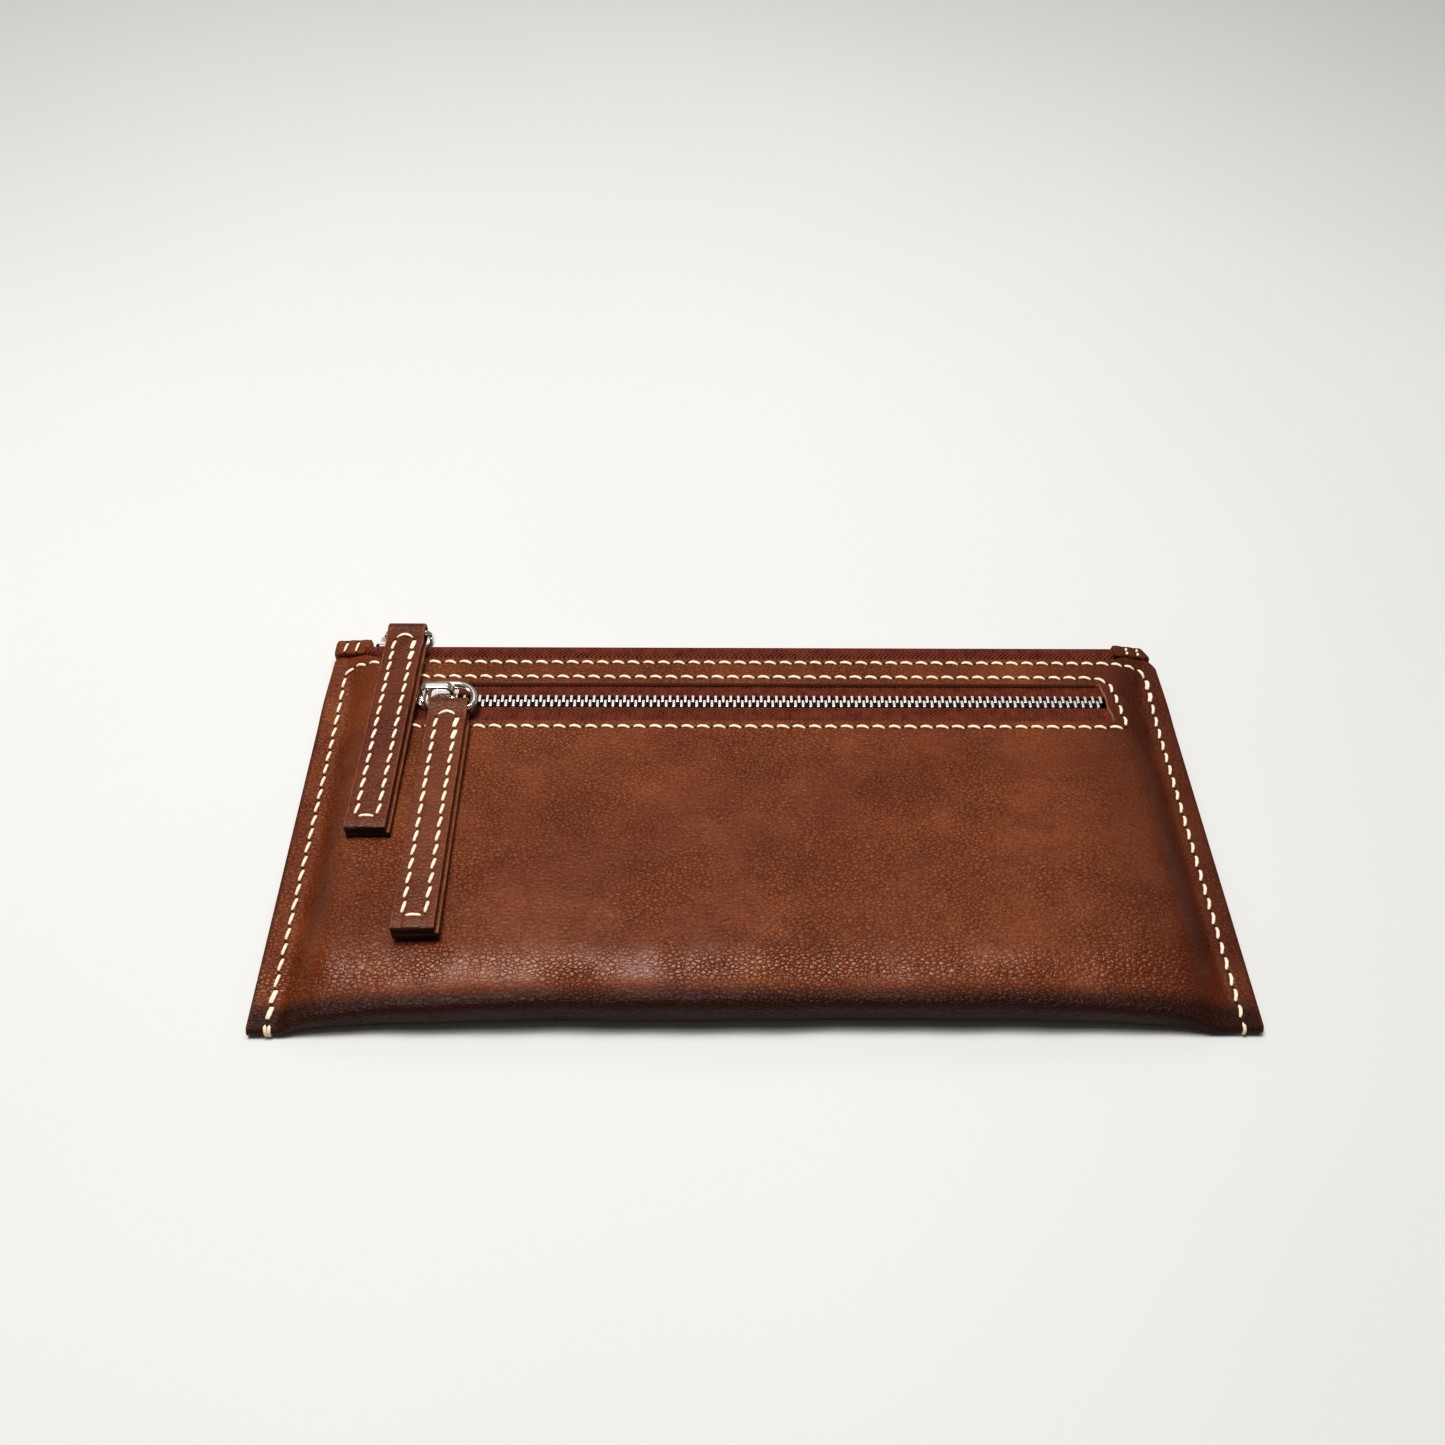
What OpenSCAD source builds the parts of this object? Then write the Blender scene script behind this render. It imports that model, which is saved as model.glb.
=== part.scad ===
// Flat leather pouch with a zipped mouth and a zipped window pocket in its front.
// It lies on its back: X runs along both zips, Y from the fold to the mouth, Z up through the front.
// The origin is the middle of the back face, on the surface that the pouch lies on.

/* [Leather pouch] */
// Width over both side seams
pouch_w = 220; // [214:1:240]
// Height of the sewn sides, from the fold to the mouth
pouch_h = 110.5; // [106:0.5:130]
// Thickness at the fold, where the pouch is fullest
fold_t = 12; // [11.5:0.1:13]
// Thickness at the mouth
mouth_t = 7.4; // [7.2:0.1:8]
// Thickness of one layer of leather
leather_t = 1.4; // [1.2:0.1:1.5]
// How much shorter the full middle is than the flat sides, at each end
pillow = 1; // [0:0.25:2]

/* [Front window] */
// Left end of the window
window_x0 = -88; // [-90:0.5:-87]
// Right end of the window
window_x1 = 92.4; // [80:0.1:93]
// Distance from the mouth to the middle of the window zip
window_drop = 17.1; // [16:0.1:24]
// Height of the window
window_h = 13.6; // [12:0.1:14]

/* [Zips] */
// Distance between the teeth of one row
tooth_pitch = 1.95; // [1.8:0.05:2.2]
// Length of one tooth along its row
tooth_l = 0.9; // [0.7:0.05:0.95]
// Half of the width of the closed chain
chain_half = 1.9; // [1.7:0.1:1.9]
// Width of one tape
tape_w = 9.6; // [8:0.1:10]
// Thickness of the tape
tape_t = 0.5; // [0.4:0.05:0.5]
// How far the chain of the mouth zip stands out of the leather
chain_out = 2.7; // [2.7:0.1:3]

/* [Sliders and rings] */
// Length of a slider
slider_l = 10; // [9:0.1:10.5]
// Width of a slider's outer plate
slider_w = 6; // [5.8:0.1:6]
// Length of the crown over the slider
crown_l = 8.6; // [8:0.1:9]
// Width of the crown
crown_w = 2.6; // [2.2:0.1:2.8]
// Wire diameter of a pull ring
ring_wire = 1.8; // [1.4:0.1:1.8]
// Width of a ring, between the middles of its side arms
ring_w = 11.8; // [11.6:0.1:12]
// Height of a ring, between the middles of its upper and lower arms
ring_h = 8.4; // [8.4:0.1:9]
// Lean of the mouth zip's ring over the front
ring_lean = 16; // [10:1:16]

/* [Leather pulls] */
// Length of a pull, from the ring to its free end
strap_l = 69; // [60:1:70]
// Width of a pull
strap_w = 9.5; // [9:0.1:9.5]
// Thickness of a pull, which is two layers sewn together
strap_t = 3.8; // [3.4:0.1:4]
// Sideways slant of the window zip's pull
strap_slant = 1.5; // [0:0.1:1.6]

/* [Stitching] */
// Distance from one stitch to the next
stitch_pitch = 4; // [3.6:0.1:4.4]
// Width of the thread where it lies on the leather
thread_w = 0.7; // [0.5:0.05:0.9]
// How far a stitch stands out of the leather
thread_h = 0.22; // [0.1:0.02:0.3]
// Distance of a side seam from the edge of the leather
seam_inset = 4.3; // [4:0.1:4.6]

/* [Hidden] */
$fn = 32;

leather_color = "#7a3f22";
lining_color = "#3a2a22";
tape_color = "#4c1d12";
metal_color = "#c9c6c0";
thread_color = "#f0d2b4";

gap = 0.05;
eps = 0.01;
stitch_fill = 0.72;

// Leather: the middle is a wedge with a round fold, and the sides are a flat sewn strip
mid_half = 95;
strip_inner = 104;
fold_r = fold_t / 2;
seam_t = 2 * leather_t;
fold_steps = 24;
mouth_y = pouch_h / 2 - pillow;
fold_y = -pouch_h / 2 + 2 * pillow + fold_r;
run = mouth_y - fold_y;
slope = asin(fold_r / norm([run, mouth_t - fold_r])) - atan((mouth_t - fold_r) / run);

// Zip stations: each chain has its own frame, X along it and Z out of it
chain_y = mouth_y + chain_out;
chain_z = mouth_t / 2;
tape_sink = leather_t + tape_t / 2 + gap;
tooth_t = 2.2;
tooth_reach = 0.25;
chain_x1 = 98;
top_chain_start = -87.9;
front_chain_start = -73.3;
front_chain_end = window_x1 - 0.3;
top_tape_x0 = -101.2;
front_tape_x0 = window_x0 - 4;
front_tape_x1 = window_x1 + 2.4;
sewn_depth = 5;

// Caps over the two ends of the mouth zip
tab_y0 = pouch_h / 2 + gap;
tab_y1 = chain_y + 2.2;
tab_z_in = 6.6;
tab_z_out = 3.8;
left_tab_in = top_tape_x0 - gap;
left_tab_out = -109;
right_tab_in = chain_x1 + gap;
right_tab_out = 107.5;

// Slider: two plates around the channel that the teeth run in, joined by the wedge at one end
plate_t = 0.9;
inner_plate_t = 0.7;
channel_half = 1.3;
flange_h = 0.7;
flange_t = 0.6;
wedge_l = 2.4;
wedge_w = 1.5;
tunnel_h = 3.7;
crown_roof = 0.8;
crown_post = 0.8;
plate_top = channel_half + plate_t;
top_slider_x = -93.7;
front_slider_x = -79.3;

// Rings hang in the crown by their left arm
ring_r = 2.3;
arm_off = -2.1;
ring_drop = 6;
top_pivot_n = 4.4;
front_pivot_n = 4.4;

// Pulls: a strip folded round the ring's near arm and sewn together
loop_in = 1.6;
loop_out = 2.5;
strap_lift = 0.55;
loop_side = 0.3;
strap_stitch_half = 2.5;

// Places the children on the front face: X along the pouch, Y = 0 at the mouth, Z out of the leather
module on_face() {
    translate([0, mouth_y, mouth_t]) rotate([-slope, 0, 0]) children();
}

// Places the children on the chain of the mouth zip
module on_top_chain() {
    translate([0, chain_y, chain_z]) rotate([-90, 0, 0]) children();
}

// Places the children on the chain of the window zip
module on_front_chain() {
    on_face() translate([0, -window_drop, -tape_sink]) children();
}

// Box from its lowest corner to its highest
module span_box(low, high) {
    translate(low) cube(high - low);
}

// Points of an arc in steps, from one angle to another
function arc(centre, r, from, to, steps) =
    [for (i = [0:steps]) let (t = from + (to - from) * i / steps) centre + r * [cos(t), sin(t)]];

// Side view of the full middle of the pouch, grown inward by the inset, and open past the mouth
module wedge_profile(inset, past) {
    r = fold_r - inset;
    polygon(concat(
        [[mouth_y + past, inset],
         [mouth_y + past, mouth_t - past * tan(slope) - inset / cos(slope)]],
        arc([fold_y, fold_r], r, 90 - slope, 270, fold_steps)
    ));
}

// Side view of the flat seam strip, with the same fold at its lower end
module strip_profile() {
    polygon(concat(
        [[pouch_h / 2, 0], [pouch_h / 2, seam_t]],
        arc([-pouch_h / 2 + leather_t, leather_t], leather_t, 90, 270, fold_steps / 2)
    ));
}

// Side view of the place where the hollow closes between the two layers
module closing_profile() {
    translate([-pouch_h / 2 + 3 * leather_t, leather_t - eps])
        square([pouch_h - 3 * leather_t + 2, 2 * eps]);
}

// Extrudes a side view along X from one place to another
module along(x0, x1) {
    translate([x0, 0, 0]) rotate([90, 0, 90]) linear_extrude(x1 - x0) children();
}

// One side of the outer leather, from the full middle down to the flat seam strip
module side_outer(side) {
    hull() {
        along(side * mid_half - eps, side * mid_half + eps) wedge_profile(0, 0);
        along(side * strip_inner - eps, side * strip_inner + eps) strip_profile();
    }
}

// One end of the hollow, which closes where the two layers meet at the seam
module side_hollow(side) {
    hull() {
        along(side * mid_half - eps, side * mid_half + eps) wedge_profile(leather_t, 2);
        along(side * (strip_inner - 1) - eps, side * (strip_inner - 1) + eps) closing_profile();
    }
}

module leather_body() {
    color(leather_color)
    difference() {
        union() {
            along(-mid_half, mid_half) wedge_profile(0, 0);
            along(-pouch_w / 2, -strip_inner) strip_profile();
            along(strip_inner, pouch_w / 2) strip_profile();
            for (side = [-1, 1]) side_outer(side);
        }
        along(-mid_half, mid_half) wedge_profile(leather_t, 2);
        for (side = [-1, 1]) side_hollow(side);
        on_face() span_box([window_x0, -window_drop - window_h / 2, -leather_t - 1],
                           [window_x1, -window_drop + window_h / 2, 1]);
    }
}

// Flat fabric bag behind the window, open only under the window
module pocket_bag() {
    cloth = 0.25;
    bag_x0 = -92.5;
    bag_x1 = mid_half - gap;
    bag_top = -6;
    bag_foot = -92;
    bag_near = -tape_sink - tape_t / 2 - 2 * gap;
    bag_far = -4.5;
    color(lining_color)
    on_face() difference() {
        span_box([bag_x0, bag_foot, bag_far], [bag_x1, bag_top, bag_near]);
        span_box([bag_x0 + cloth, bag_foot + cloth, bag_far + cloth],
                 [bag_x1 - cloth, bag_top - cloth, bag_near - cloth]);
        span_box([bag_x0 + cloth, -window_drop - window_h / 2 - 2, bag_near - 2 * cloth],
                 [bag_x1 - cloth, -window_drop + window_h / 2 + 2, bag_near + 1]);
    }
}

// Leather cap sewn over one end of the mouth zip, thinner towards the side seam
module zip_tab(x_in, x_out) {
    color(leather_color)
    translate([0, tab_y1, 0]) rotate([90, 0, 0]) linear_extrude(tab_y1 - tab_y0)
        polygon([[x_in, 0.6], [x_in, tab_z_in], [x_out, tab_z_out], [x_out, 0.4]]);
}

module left_zip_tab() {
    zip_tab(left_tab_in, left_tab_out);
}

module right_zip_tab() {
    zip_tab(right_tab_in, right_tab_out);
}

// Outline of a strip of even thickness along a path, with its corners mitred
function side_dir(path, i) =
    let (before = path[max(i, 1)] - path[max(i, 1) - 1])
    let (last = len(path) - 1)
    let (after = path[min(i + 1, last)] - path[min(i + 1, last) - 1])
    let (mean = before / norm(before) + after / norm(after))
    let (unit = mean / norm(mean))
    let (stretch = unit * before / norm(before))
    [-unit.y, unit.x] / stretch;
function strip_outline(path, half) = concat(
    [for (i = [0:len(path) - 1]) path[i] + half * side_dir(path, i)],
    [for (i = [len(path) - 1:-1:0]) path[i] - half * side_dir(path, i)]
);

// One tape of the mouth zip: it leaves the leather, swells round the chain and turns in to it
module top_zip_tape(side) {
    inside = chain_z - leather_t - tape_t / 2 - gap;
    sewn = [[chain_out + sewn_depth, inside], [chain_out, inside], [1.8, 2.75], [1.1, 2.95]];
    turned = [[1.1, 2.95], [0.6, 2.95], [0.2, 2.7], [0, chain_half + gap]];
    color(tape_color) {
        tape_strip(concat(sewn, [for (i = [1:3]) turned[i]]), side, -mid_half, mid_half);
        tape_strip(turned, side, top_tape_x0, -mid_half);
        tape_strip(turned, side, mid_half, chain_x1);
    }
}

// Stretch of a mouth zip tape; its path holds depth behind the chain and distance from its middle
module tape_strip(path, side, x0, x1) {
    translate([x0, chain_y, chain_z]) rotate([90, 0, 90]) linear_extrude(x1 - x0)
        polygon([for (p = strip_outline(path, tape_t / 2)) [-p.x, side * p.y]]);
}

module top_zip_tape_front() {
    top_zip_tape(1);
}

module top_zip_tape_back() {
    top_zip_tape(-1);
}

// One row of teeth in a chain's own frame, on the side given
module tooth_row(side, x0, x1) {
    shift = side > 0 ? 0 : tooth_pitch / 2;
    count = floor((x1 - x0 - shift - tooth_l) / tooth_pitch);
    low = side > 0 ? -tooth_reach : -chain_half;
    color(metal_color)
    for (i = [0:count]) translate([x0 + shift + i * tooth_pitch, low, -tooth_t / 2])
        cube([tooth_l, chain_half + tooth_reach, tooth_t]);
}

// Stops clamped on the tapes at the closed end, one on each tape
module top_stops(x0) {
    stop_l = 1.2;
    color(metal_color)
    for (side = [-1, 1]) translate([x0, side * 1.4 - 0.5, -tooth_t / 2])
        cube([stop_l, 1, tooth_t]);
}

// Stop clamped over both rows at the open end, as thick as given
module bottom_stop(x0, thick) {
    stop_l = 1.6;
    color(metal_color)
    translate([x0, -chain_half, -thick / 2]) cube([stop_l, 2 * chain_half, thick]);
}

module top_zip_teeth_front() {
    on_top_chain() tooth_row(-1, top_chain_start, chain_x1 - 2.2);
}

module top_zip_teeth_back() {
    on_top_chain() tooth_row(1, top_chain_start, chain_x1 - 2.2);
}

module top_zip_top_stops() {
    on_top_chain() top_stops(top_tape_x0 + gap);
}

module top_zip_bottom_stop() {
    on_top_chain() bottom_stop(chain_x1 - 1.7, tooth_t);
}

// One flat tape of the window zip, behind the leather
module front_zip_tape(side) {
    y0 = side > 0 ? chain_half + gap : -chain_half - gap - tape_w;
    color(tape_color)
    on_front_chain() span_box([front_tape_x0, y0, -tape_t / 2],
                              [front_tape_x1, y0 + tape_w, tape_t / 2]);
}

module front_zip_tape_upper() {
    front_zip_tape(1);
}

module front_zip_tape_lower() {
    front_zip_tape(-1);
}

module front_zip_teeth_upper() {
    on_front_chain() tooth_row(1, front_chain_start, front_chain_end);
}

module front_zip_teeth_lower() {
    on_front_chain() tooth_row(-1, front_chain_start, front_chain_end);
}

module front_zip_top_stops() {
    on_front_chain() top_stops(window_x0 + 1.6);
}

module front_zip_bottom_stop() {
    on_front_chain() translate([0, 0, -tape_t]) bottom_stop(front_chain_end + 0.5, tape_t * 1.3);
}

// One stitch along X, pulled flat on the surface at Z = 0
module stitch(long) {
    span_box([-long / 2, -thread_w / 2, gap / 2], [long / 2, thread_w / 2, gap / 2 + thread_h]);
}

// Straight run of stitches along X between two places, spaced as evenly as they fit
module stitch_run(x0, x1) {
    count = round((x1 - x0) / stitch_pitch);
    step = (x1 - x0) / count;
    for (i = [0:count - 1]) translate([x0 + (i + 0.5) * step, 0, 0]) stitch(step * stitch_fill);
}

module side_seam_thread(side) {
    color(thread_color)
    translate([side * (pouch_w / 2 - seam_inset), 0, seam_t]) rotate([0, 0, 90])
        stitch_run(-pouch_h / 2 + 3, pouch_h / 2 - 3);
}

module left_seam_thread() {
    side_seam_thread(-1);
}

module right_seam_thread() {
    side_seam_thread(1);
}

module top_seam_thread() {
    color(thread_color)
    on_face() translate([0, -2.8, 0]) stitch_run(-mid_half + 1, mid_half - 1);
}

// Stitching round the window: two long rows and the short row that joins them at the right
module window_thread() {
    upper = 8.4;
    lower = 26.8;
    right = 95.7;
    left = -85;
    color(thread_color)
    on_face() {
        translate([0, -upper, 0]) stitch_run(left, right - 4);
        translate([0, -lower, 0]) stitch_run(left, right - 1.6);
        translate([right - 1.2, 0, 0]) rotate([0, 0, 90]) stitch_run(-lower + 0.8, -upper - 1.5);
    }
}

// Stitches of one zip tab, across its sloping upper face
module tab_thread(x_in, x_out) {
    stitch_long = 2.4;
    lean = atan2(tab_z_out - tab_z_in, x_out - x_in);
    color(thread_color)
    translate([x_in, (tab_y0 + tab_y1) / 2, tab_z_in])
        for (share = [1 / 3, 2 / 3])
            translate(share * [x_out - x_in, 0, tab_z_out - tab_z_in])
            rotate([0, x_out > x_in ? -lean : 180 - lean, 0])
            rotate([0, 0, 90]) stitch(stitch_long);
}

module left_tab_thread() {
    tab_thread(left_tab_in, left_tab_out);
}

module right_tab_thread() {
    tab_thread(right_tab_in, right_tab_out);
}

// Flat plate of a slider, wide at the wedge end and narrower where the closed chain leaves
module slider_plate(half, low, thick) {
    l = slider_l / 2;
    translate([0, 0, low]) linear_extrude(thick)
        polygon([
            [-l + 0.8, -half], [-l, -half + 0.8], [-l, half - 0.8], [-l + 0.8, half],
            [l * 0.1, half], [l, half - 0.15], [l, -half + 0.15], [l * 0.1, -half]
        ]);
}

// Slider in a chain's frame, closed end towards -X, with the inner plate as wide as given
module slider(inner_half) {
    half = slider_w / 2;
    l = slider_l / 2;
    color(metal_color) {
        slider_plate(half, channel_half, plate_t);
        slider_plate(inner_half, -channel_half - inner_plate_t, inner_plate_t);
        translate([-l, -wedge_w / 2, -channel_half - eps])
            cube([wedge_l, wedge_w, 2 * channel_half + 2 * eps]);
        for (side = [-1, 1]) {
            translate([-l + 1, side * (half - 0.15 - flange_t / 2) - flange_t / 2,
                       channel_half - flange_h])
                cube([slider_l - 1.2, flange_t, flange_h + eps]);
        }
    }
}

// Crown bridging the outer plate, with a tunnel for the ring under it
module slider_crown() {
    color(metal_color)
    translate([-crown_l / 2, crown_w / 2, plate_top]) rotate([90, 0, 0])
        linear_extrude(crown_w)
        difference() {
            crown_outline(crown_l, tunnel_h + crown_roof, 1.8);
            translate([crown_post, -eps])
                crown_outline(crown_l - 2 * crown_post, tunnel_h + eps, 1);
        }
}

// Side view of the crown: a box with its two upper corners rounded
module crown_outline(w, h, r) {
    square([w, h - r]);
    translate([r, 0]) square([w - 2 * r, h]);
    for (x = [r, w - r]) translate([x, h - r]) circle(r, $fn = 48);
}

// Wire ring in its own frame: the origin is where it hangs in the crown
module ring() {
    cx = ring_w / 2;
    cy = ring_h / 2 - ring_drop;
    rx = ring_w / 2 - ring_r;
    ry = ring_h / 2 - ring_r;
    color(metal_color)
    translate([cx, cy, 0]) {
        for (q = [0:3]) {
            sx = q == 0 || q == 3 ? 1 : -1;
            sy = q < 2 ? 1 : -1;
            translate([sx * rx, sy * ry, 0]) rotate([0, 0, 90 * q])
                rotate_extrude(angle = 90, $fn = 64) translate([ring_r, 0])
                circle(d = ring_wire, $fn = 32);
        }
        for (side = [-1, 1]) {
            translate([-rx, side * ring_h / 2, 0]) rotate([0, 90, 0])
                cylinder(d = ring_wire, h = 2 * rx);
            translate([side * ring_w / 2, ry, 0]) rotate([90, 0, 0])
                cylinder(d = ring_wire, h = 2 * ry);
        }
    }
}

// Leather pull in its own frame: the origin is the arm that it hangs on, and it points to -Y
module strap(under, slant) {
    color(leather_color)
    difference() {
        union() {
            rotate([0, 0, slant]) span_box([-strap_w / 2, -strap_l, -under],
                                           [strap_w / 2, -1, strap_t - under]);
            translate([-strap_w / 2 + loop_side, 0, 0]) rotate([0, 90, 0])
                cylinder(r = loop_out, h = strap_w - 2 * loop_side, $fn = 64);
        }
        translate([-strap_w, 0, 0]) rotate([0, 90, 0])
            cylinder(r = loop_in, h = 2 * strap_w, $fn = 64);
    }
}

// Stitching of a pull: two long rows, a cross stitch at the end and one near the ring
module strap_thread(under, slant) {
    near = -4;
    far = -strap_l + 3.6;
    color(thread_color)
    rotate([0, 0, slant]) translate([0, 0, strap_t - under]) {
        for (side = [-1, 1]) translate([side * strap_stitch_half, 0, 0])
            rotate([0, 0, 90]) stitch_run(far + 0.6, near - 0.6);
        translate([0, far, 0]) stitch(3);
        translate([0, near + 0.6, 0]) stitch(3);
    }
}

// Frames of the moving pieces at rest
module on_top_ring() {
    on_top_chain() translate([top_slider_x + arm_off, 0, top_pivot_n])
        rotate([ring_lean, 0, 0]) children();
}

module on_front_ring() {
    on_front_chain() translate([front_slider_x + arm_off, 0, front_pivot_n]) children();
}

// Where the mouth zip's pull hangs: the near arm of the leaning ring, with the pull along the face
module on_top_strap() {
    translate([
        top_slider_x + arm_off + ring_w / 2,
        chain_y + top_pivot_n - ring_drop * sin(ring_lean),
        chain_z + ring_drop * cos(ring_lean)
    ]) rotate([-slope, 0, 0]) children();
}

module on_front_strap() {
    on_front_ring() translate([ring_w / 2, -ring_drop, 0]) children();
}

// Depth of a pull's underside below its arm, so that it lies just over the leather
top_arm_y = chain_y + top_pivot_n - ring_drop * sin(ring_lean);
top_arm_z = chain_z + ring_drop * cos(ring_lean);
top_under = (top_arm_z - mouth_t) * cos(slope) + (top_arm_y - mouth_y) * sin(slope) - strap_lift;
front_under = front_pivot_n - tape_sink - strap_lift;

module top_slider_body() {
    on_top_chain() translate([top_slider_x, 0, 0]) slider(1.6);
}

module top_slider_crown() {
    on_top_chain() translate([top_slider_x, 0, 0]) slider_crown();
}

module top_pull_ring() {
    on_top_ring() ring();
}

module top_pull_strap() {
    on_top_strap() strap(top_under, 0);
}

module top_pull_thread() {
    on_top_strap() strap_thread(top_under, 0);
}

module front_slider_body() {
    on_front_chain() translate([front_slider_x, 0, 0]) slider(slider_w / 2);
}

module front_slider_crown() {
    on_front_chain() translate([front_slider_x, 0, 0]) slider_crown();
}

module front_pull_ring() {
    on_front_ring() ring();
}

module front_pull_strap() {
    on_front_strap() strap(front_under, strap_slant);
}

module front_pull_thread() {
    on_front_strap() strap_thread(front_under, strap_slant);
}

leather_body();
pocket_bag();
left_zip_tab();
right_zip_tab();
top_zip_tape_front();
top_zip_tape_back();
top_zip_teeth_front();
top_zip_teeth_back();
top_zip_top_stops();
top_zip_bottom_stop();
front_zip_tape_upper();
front_zip_tape_lower();
front_zip_teeth_upper();
front_zip_teeth_lower();
front_zip_top_stops();
front_zip_bottom_stop();
left_seam_thread();
right_seam_thread();
top_seam_thread();
window_thread();
left_tab_thread();
right_tab_thread();
top_slider_body();
top_slider_crown();
top_pull_ring();
top_pull_strap();
top_pull_thread();
front_slider_body();
front_slider_crown();
front_pull_ring();
front_pull_strap();
front_pull_thread();
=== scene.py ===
"""Looks of the zippered leather pouch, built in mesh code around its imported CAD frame.

Shapes are worked out in millimetres in the CAD's own frame and turned into metres when a mesh is made.
"""

import math
import random

import bpy
import numpy as np
from mathutils import Matrix, Vector


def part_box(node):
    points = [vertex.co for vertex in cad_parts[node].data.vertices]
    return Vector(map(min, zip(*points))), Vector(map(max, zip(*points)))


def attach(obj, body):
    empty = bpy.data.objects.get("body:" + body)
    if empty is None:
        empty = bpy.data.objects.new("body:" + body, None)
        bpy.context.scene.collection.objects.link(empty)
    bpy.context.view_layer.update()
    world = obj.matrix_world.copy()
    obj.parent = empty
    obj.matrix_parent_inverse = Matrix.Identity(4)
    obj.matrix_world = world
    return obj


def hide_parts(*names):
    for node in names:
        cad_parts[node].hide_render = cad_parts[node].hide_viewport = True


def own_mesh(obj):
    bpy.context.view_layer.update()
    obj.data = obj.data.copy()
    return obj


MM = 0.001
TAU = 2 * math.pi

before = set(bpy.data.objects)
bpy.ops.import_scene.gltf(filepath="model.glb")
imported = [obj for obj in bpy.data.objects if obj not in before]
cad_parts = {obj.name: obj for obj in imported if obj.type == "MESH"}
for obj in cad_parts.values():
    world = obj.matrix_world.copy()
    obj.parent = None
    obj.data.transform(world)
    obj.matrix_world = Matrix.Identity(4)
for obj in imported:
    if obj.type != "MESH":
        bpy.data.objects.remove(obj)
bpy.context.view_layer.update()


def cad_box(node):
    """Lowest and highest corner of a CAD node, in millimetres."""
    low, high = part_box(node)
    return np.array(low) / MM, np.array(high) / MM


# -------------------- driving sizes, in millimetres
_, body_high = cad_box("leather_body")
HALF_W = body_high[0]
HALF_H = body_high[1]
FOLD_R = body_high[2] / 2
LEATHER_T = 1.4
SEAM_T = 2 * LEATHER_T
MOUTH_T = 7.4
PILLOW = 1.0
MOUTH_Y = HALF_H - PILLOW
FOLD_Y = -HALF_H + 2 * PILLOW + FOLD_R
STRIP_X = 104.0

RUN = MOUTH_Y - FOLD_Y
SLOPE = math.asin(FOLD_R / math.hypot(RUN, MOUTH_T - FOLD_R)) - math.atan((MOUTH_T - FOLD_R) / RUN)
FACE_L = (RUN - FOLD_R * math.sin(SLOPE)) / math.cos(SLOPE)
FOLD_L = math.pi * FOLD_R
BACK_L = RUN
TOTAL_L = FACE_L + FOLD_L + BACK_L

CHAIN_OUT = 2.7
CHAIN_HALF = 1.9
CHAIN_Y = MOUTH_Y + CHAIN_OUT
CHAIN_Z = MOUTH_T / 2
TAPE_T = 0.5
TAPE_SINK = LEATHER_T + TAPE_T / 2 + 0.05
WINDOW_X0 = -88.0
WINDOW_X1 = 92.4
WINDOW_TOP = 11.1
WINDOW_FOOT = 24.7
WINDOW_MID = 17.1
TOOTH_PITCH = 1.95
WINDOW_TAPE_HALF = 11.4
WINDOW_TAPE_X = (-92.0, 94.8)
WINDOW_TEETH_X = (-73.3, 92.1)
MOUTH_TAPE_X = (-101.2, 98.0)
MOUTH_TEETH_X = (-87.9, 95.8)

SEAM_X = HALF_W - 4.3
TOP_ROW = 3.5
WINDOW_ROW_TOP = 9.0
WINDOW_ROW_FOOT = 27.0
WINDOW_ROW_X0 = -86.0
WINDOW_ROW_X = 95.7
WINDOW_BEND_R = 4.4
STITCH_PITCH = 4.0
THREAD_R = 0.47


# -------------------- small helpers
def mix(a, b, t):
    return a + (b - a) * t


def smooth(t):
    t = np.clip(t, 0, 1)
    return t * t * (3 - 2 * t)


def bell(d, width):
    return np.exp(-((d / width) ** 2))


def unit(v):
    return v / np.maximum(np.linalg.norm(v, axis=-1, keepdims=True), 1e-9)


def add_object(name, data):
    made = bpy.data.objects.new(name, data)
    bpy.context.scene.collection.objects.link(made)
    return made


def grid_faces(rows, cols, wrap_rows=False, wrap_cols=False, skip=None):
    """Quads of a grid whose vertex (i, j) is number i * cols + j."""
    faces = []
    for i in range(rows if wrap_rows else rows - 1):
        for j in range(cols if wrap_cols else cols - 1):
            if skip is not None and skip[i, j]:
                continue
            a, b = i * cols + j, i * cols + (j + 1) % cols
            c, d = ((i + 1) % rows) * cols + (j + 1) % cols, ((i + 1) % rows) * cols + j
            faces.append((a, b, c, d))
    return faces


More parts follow.
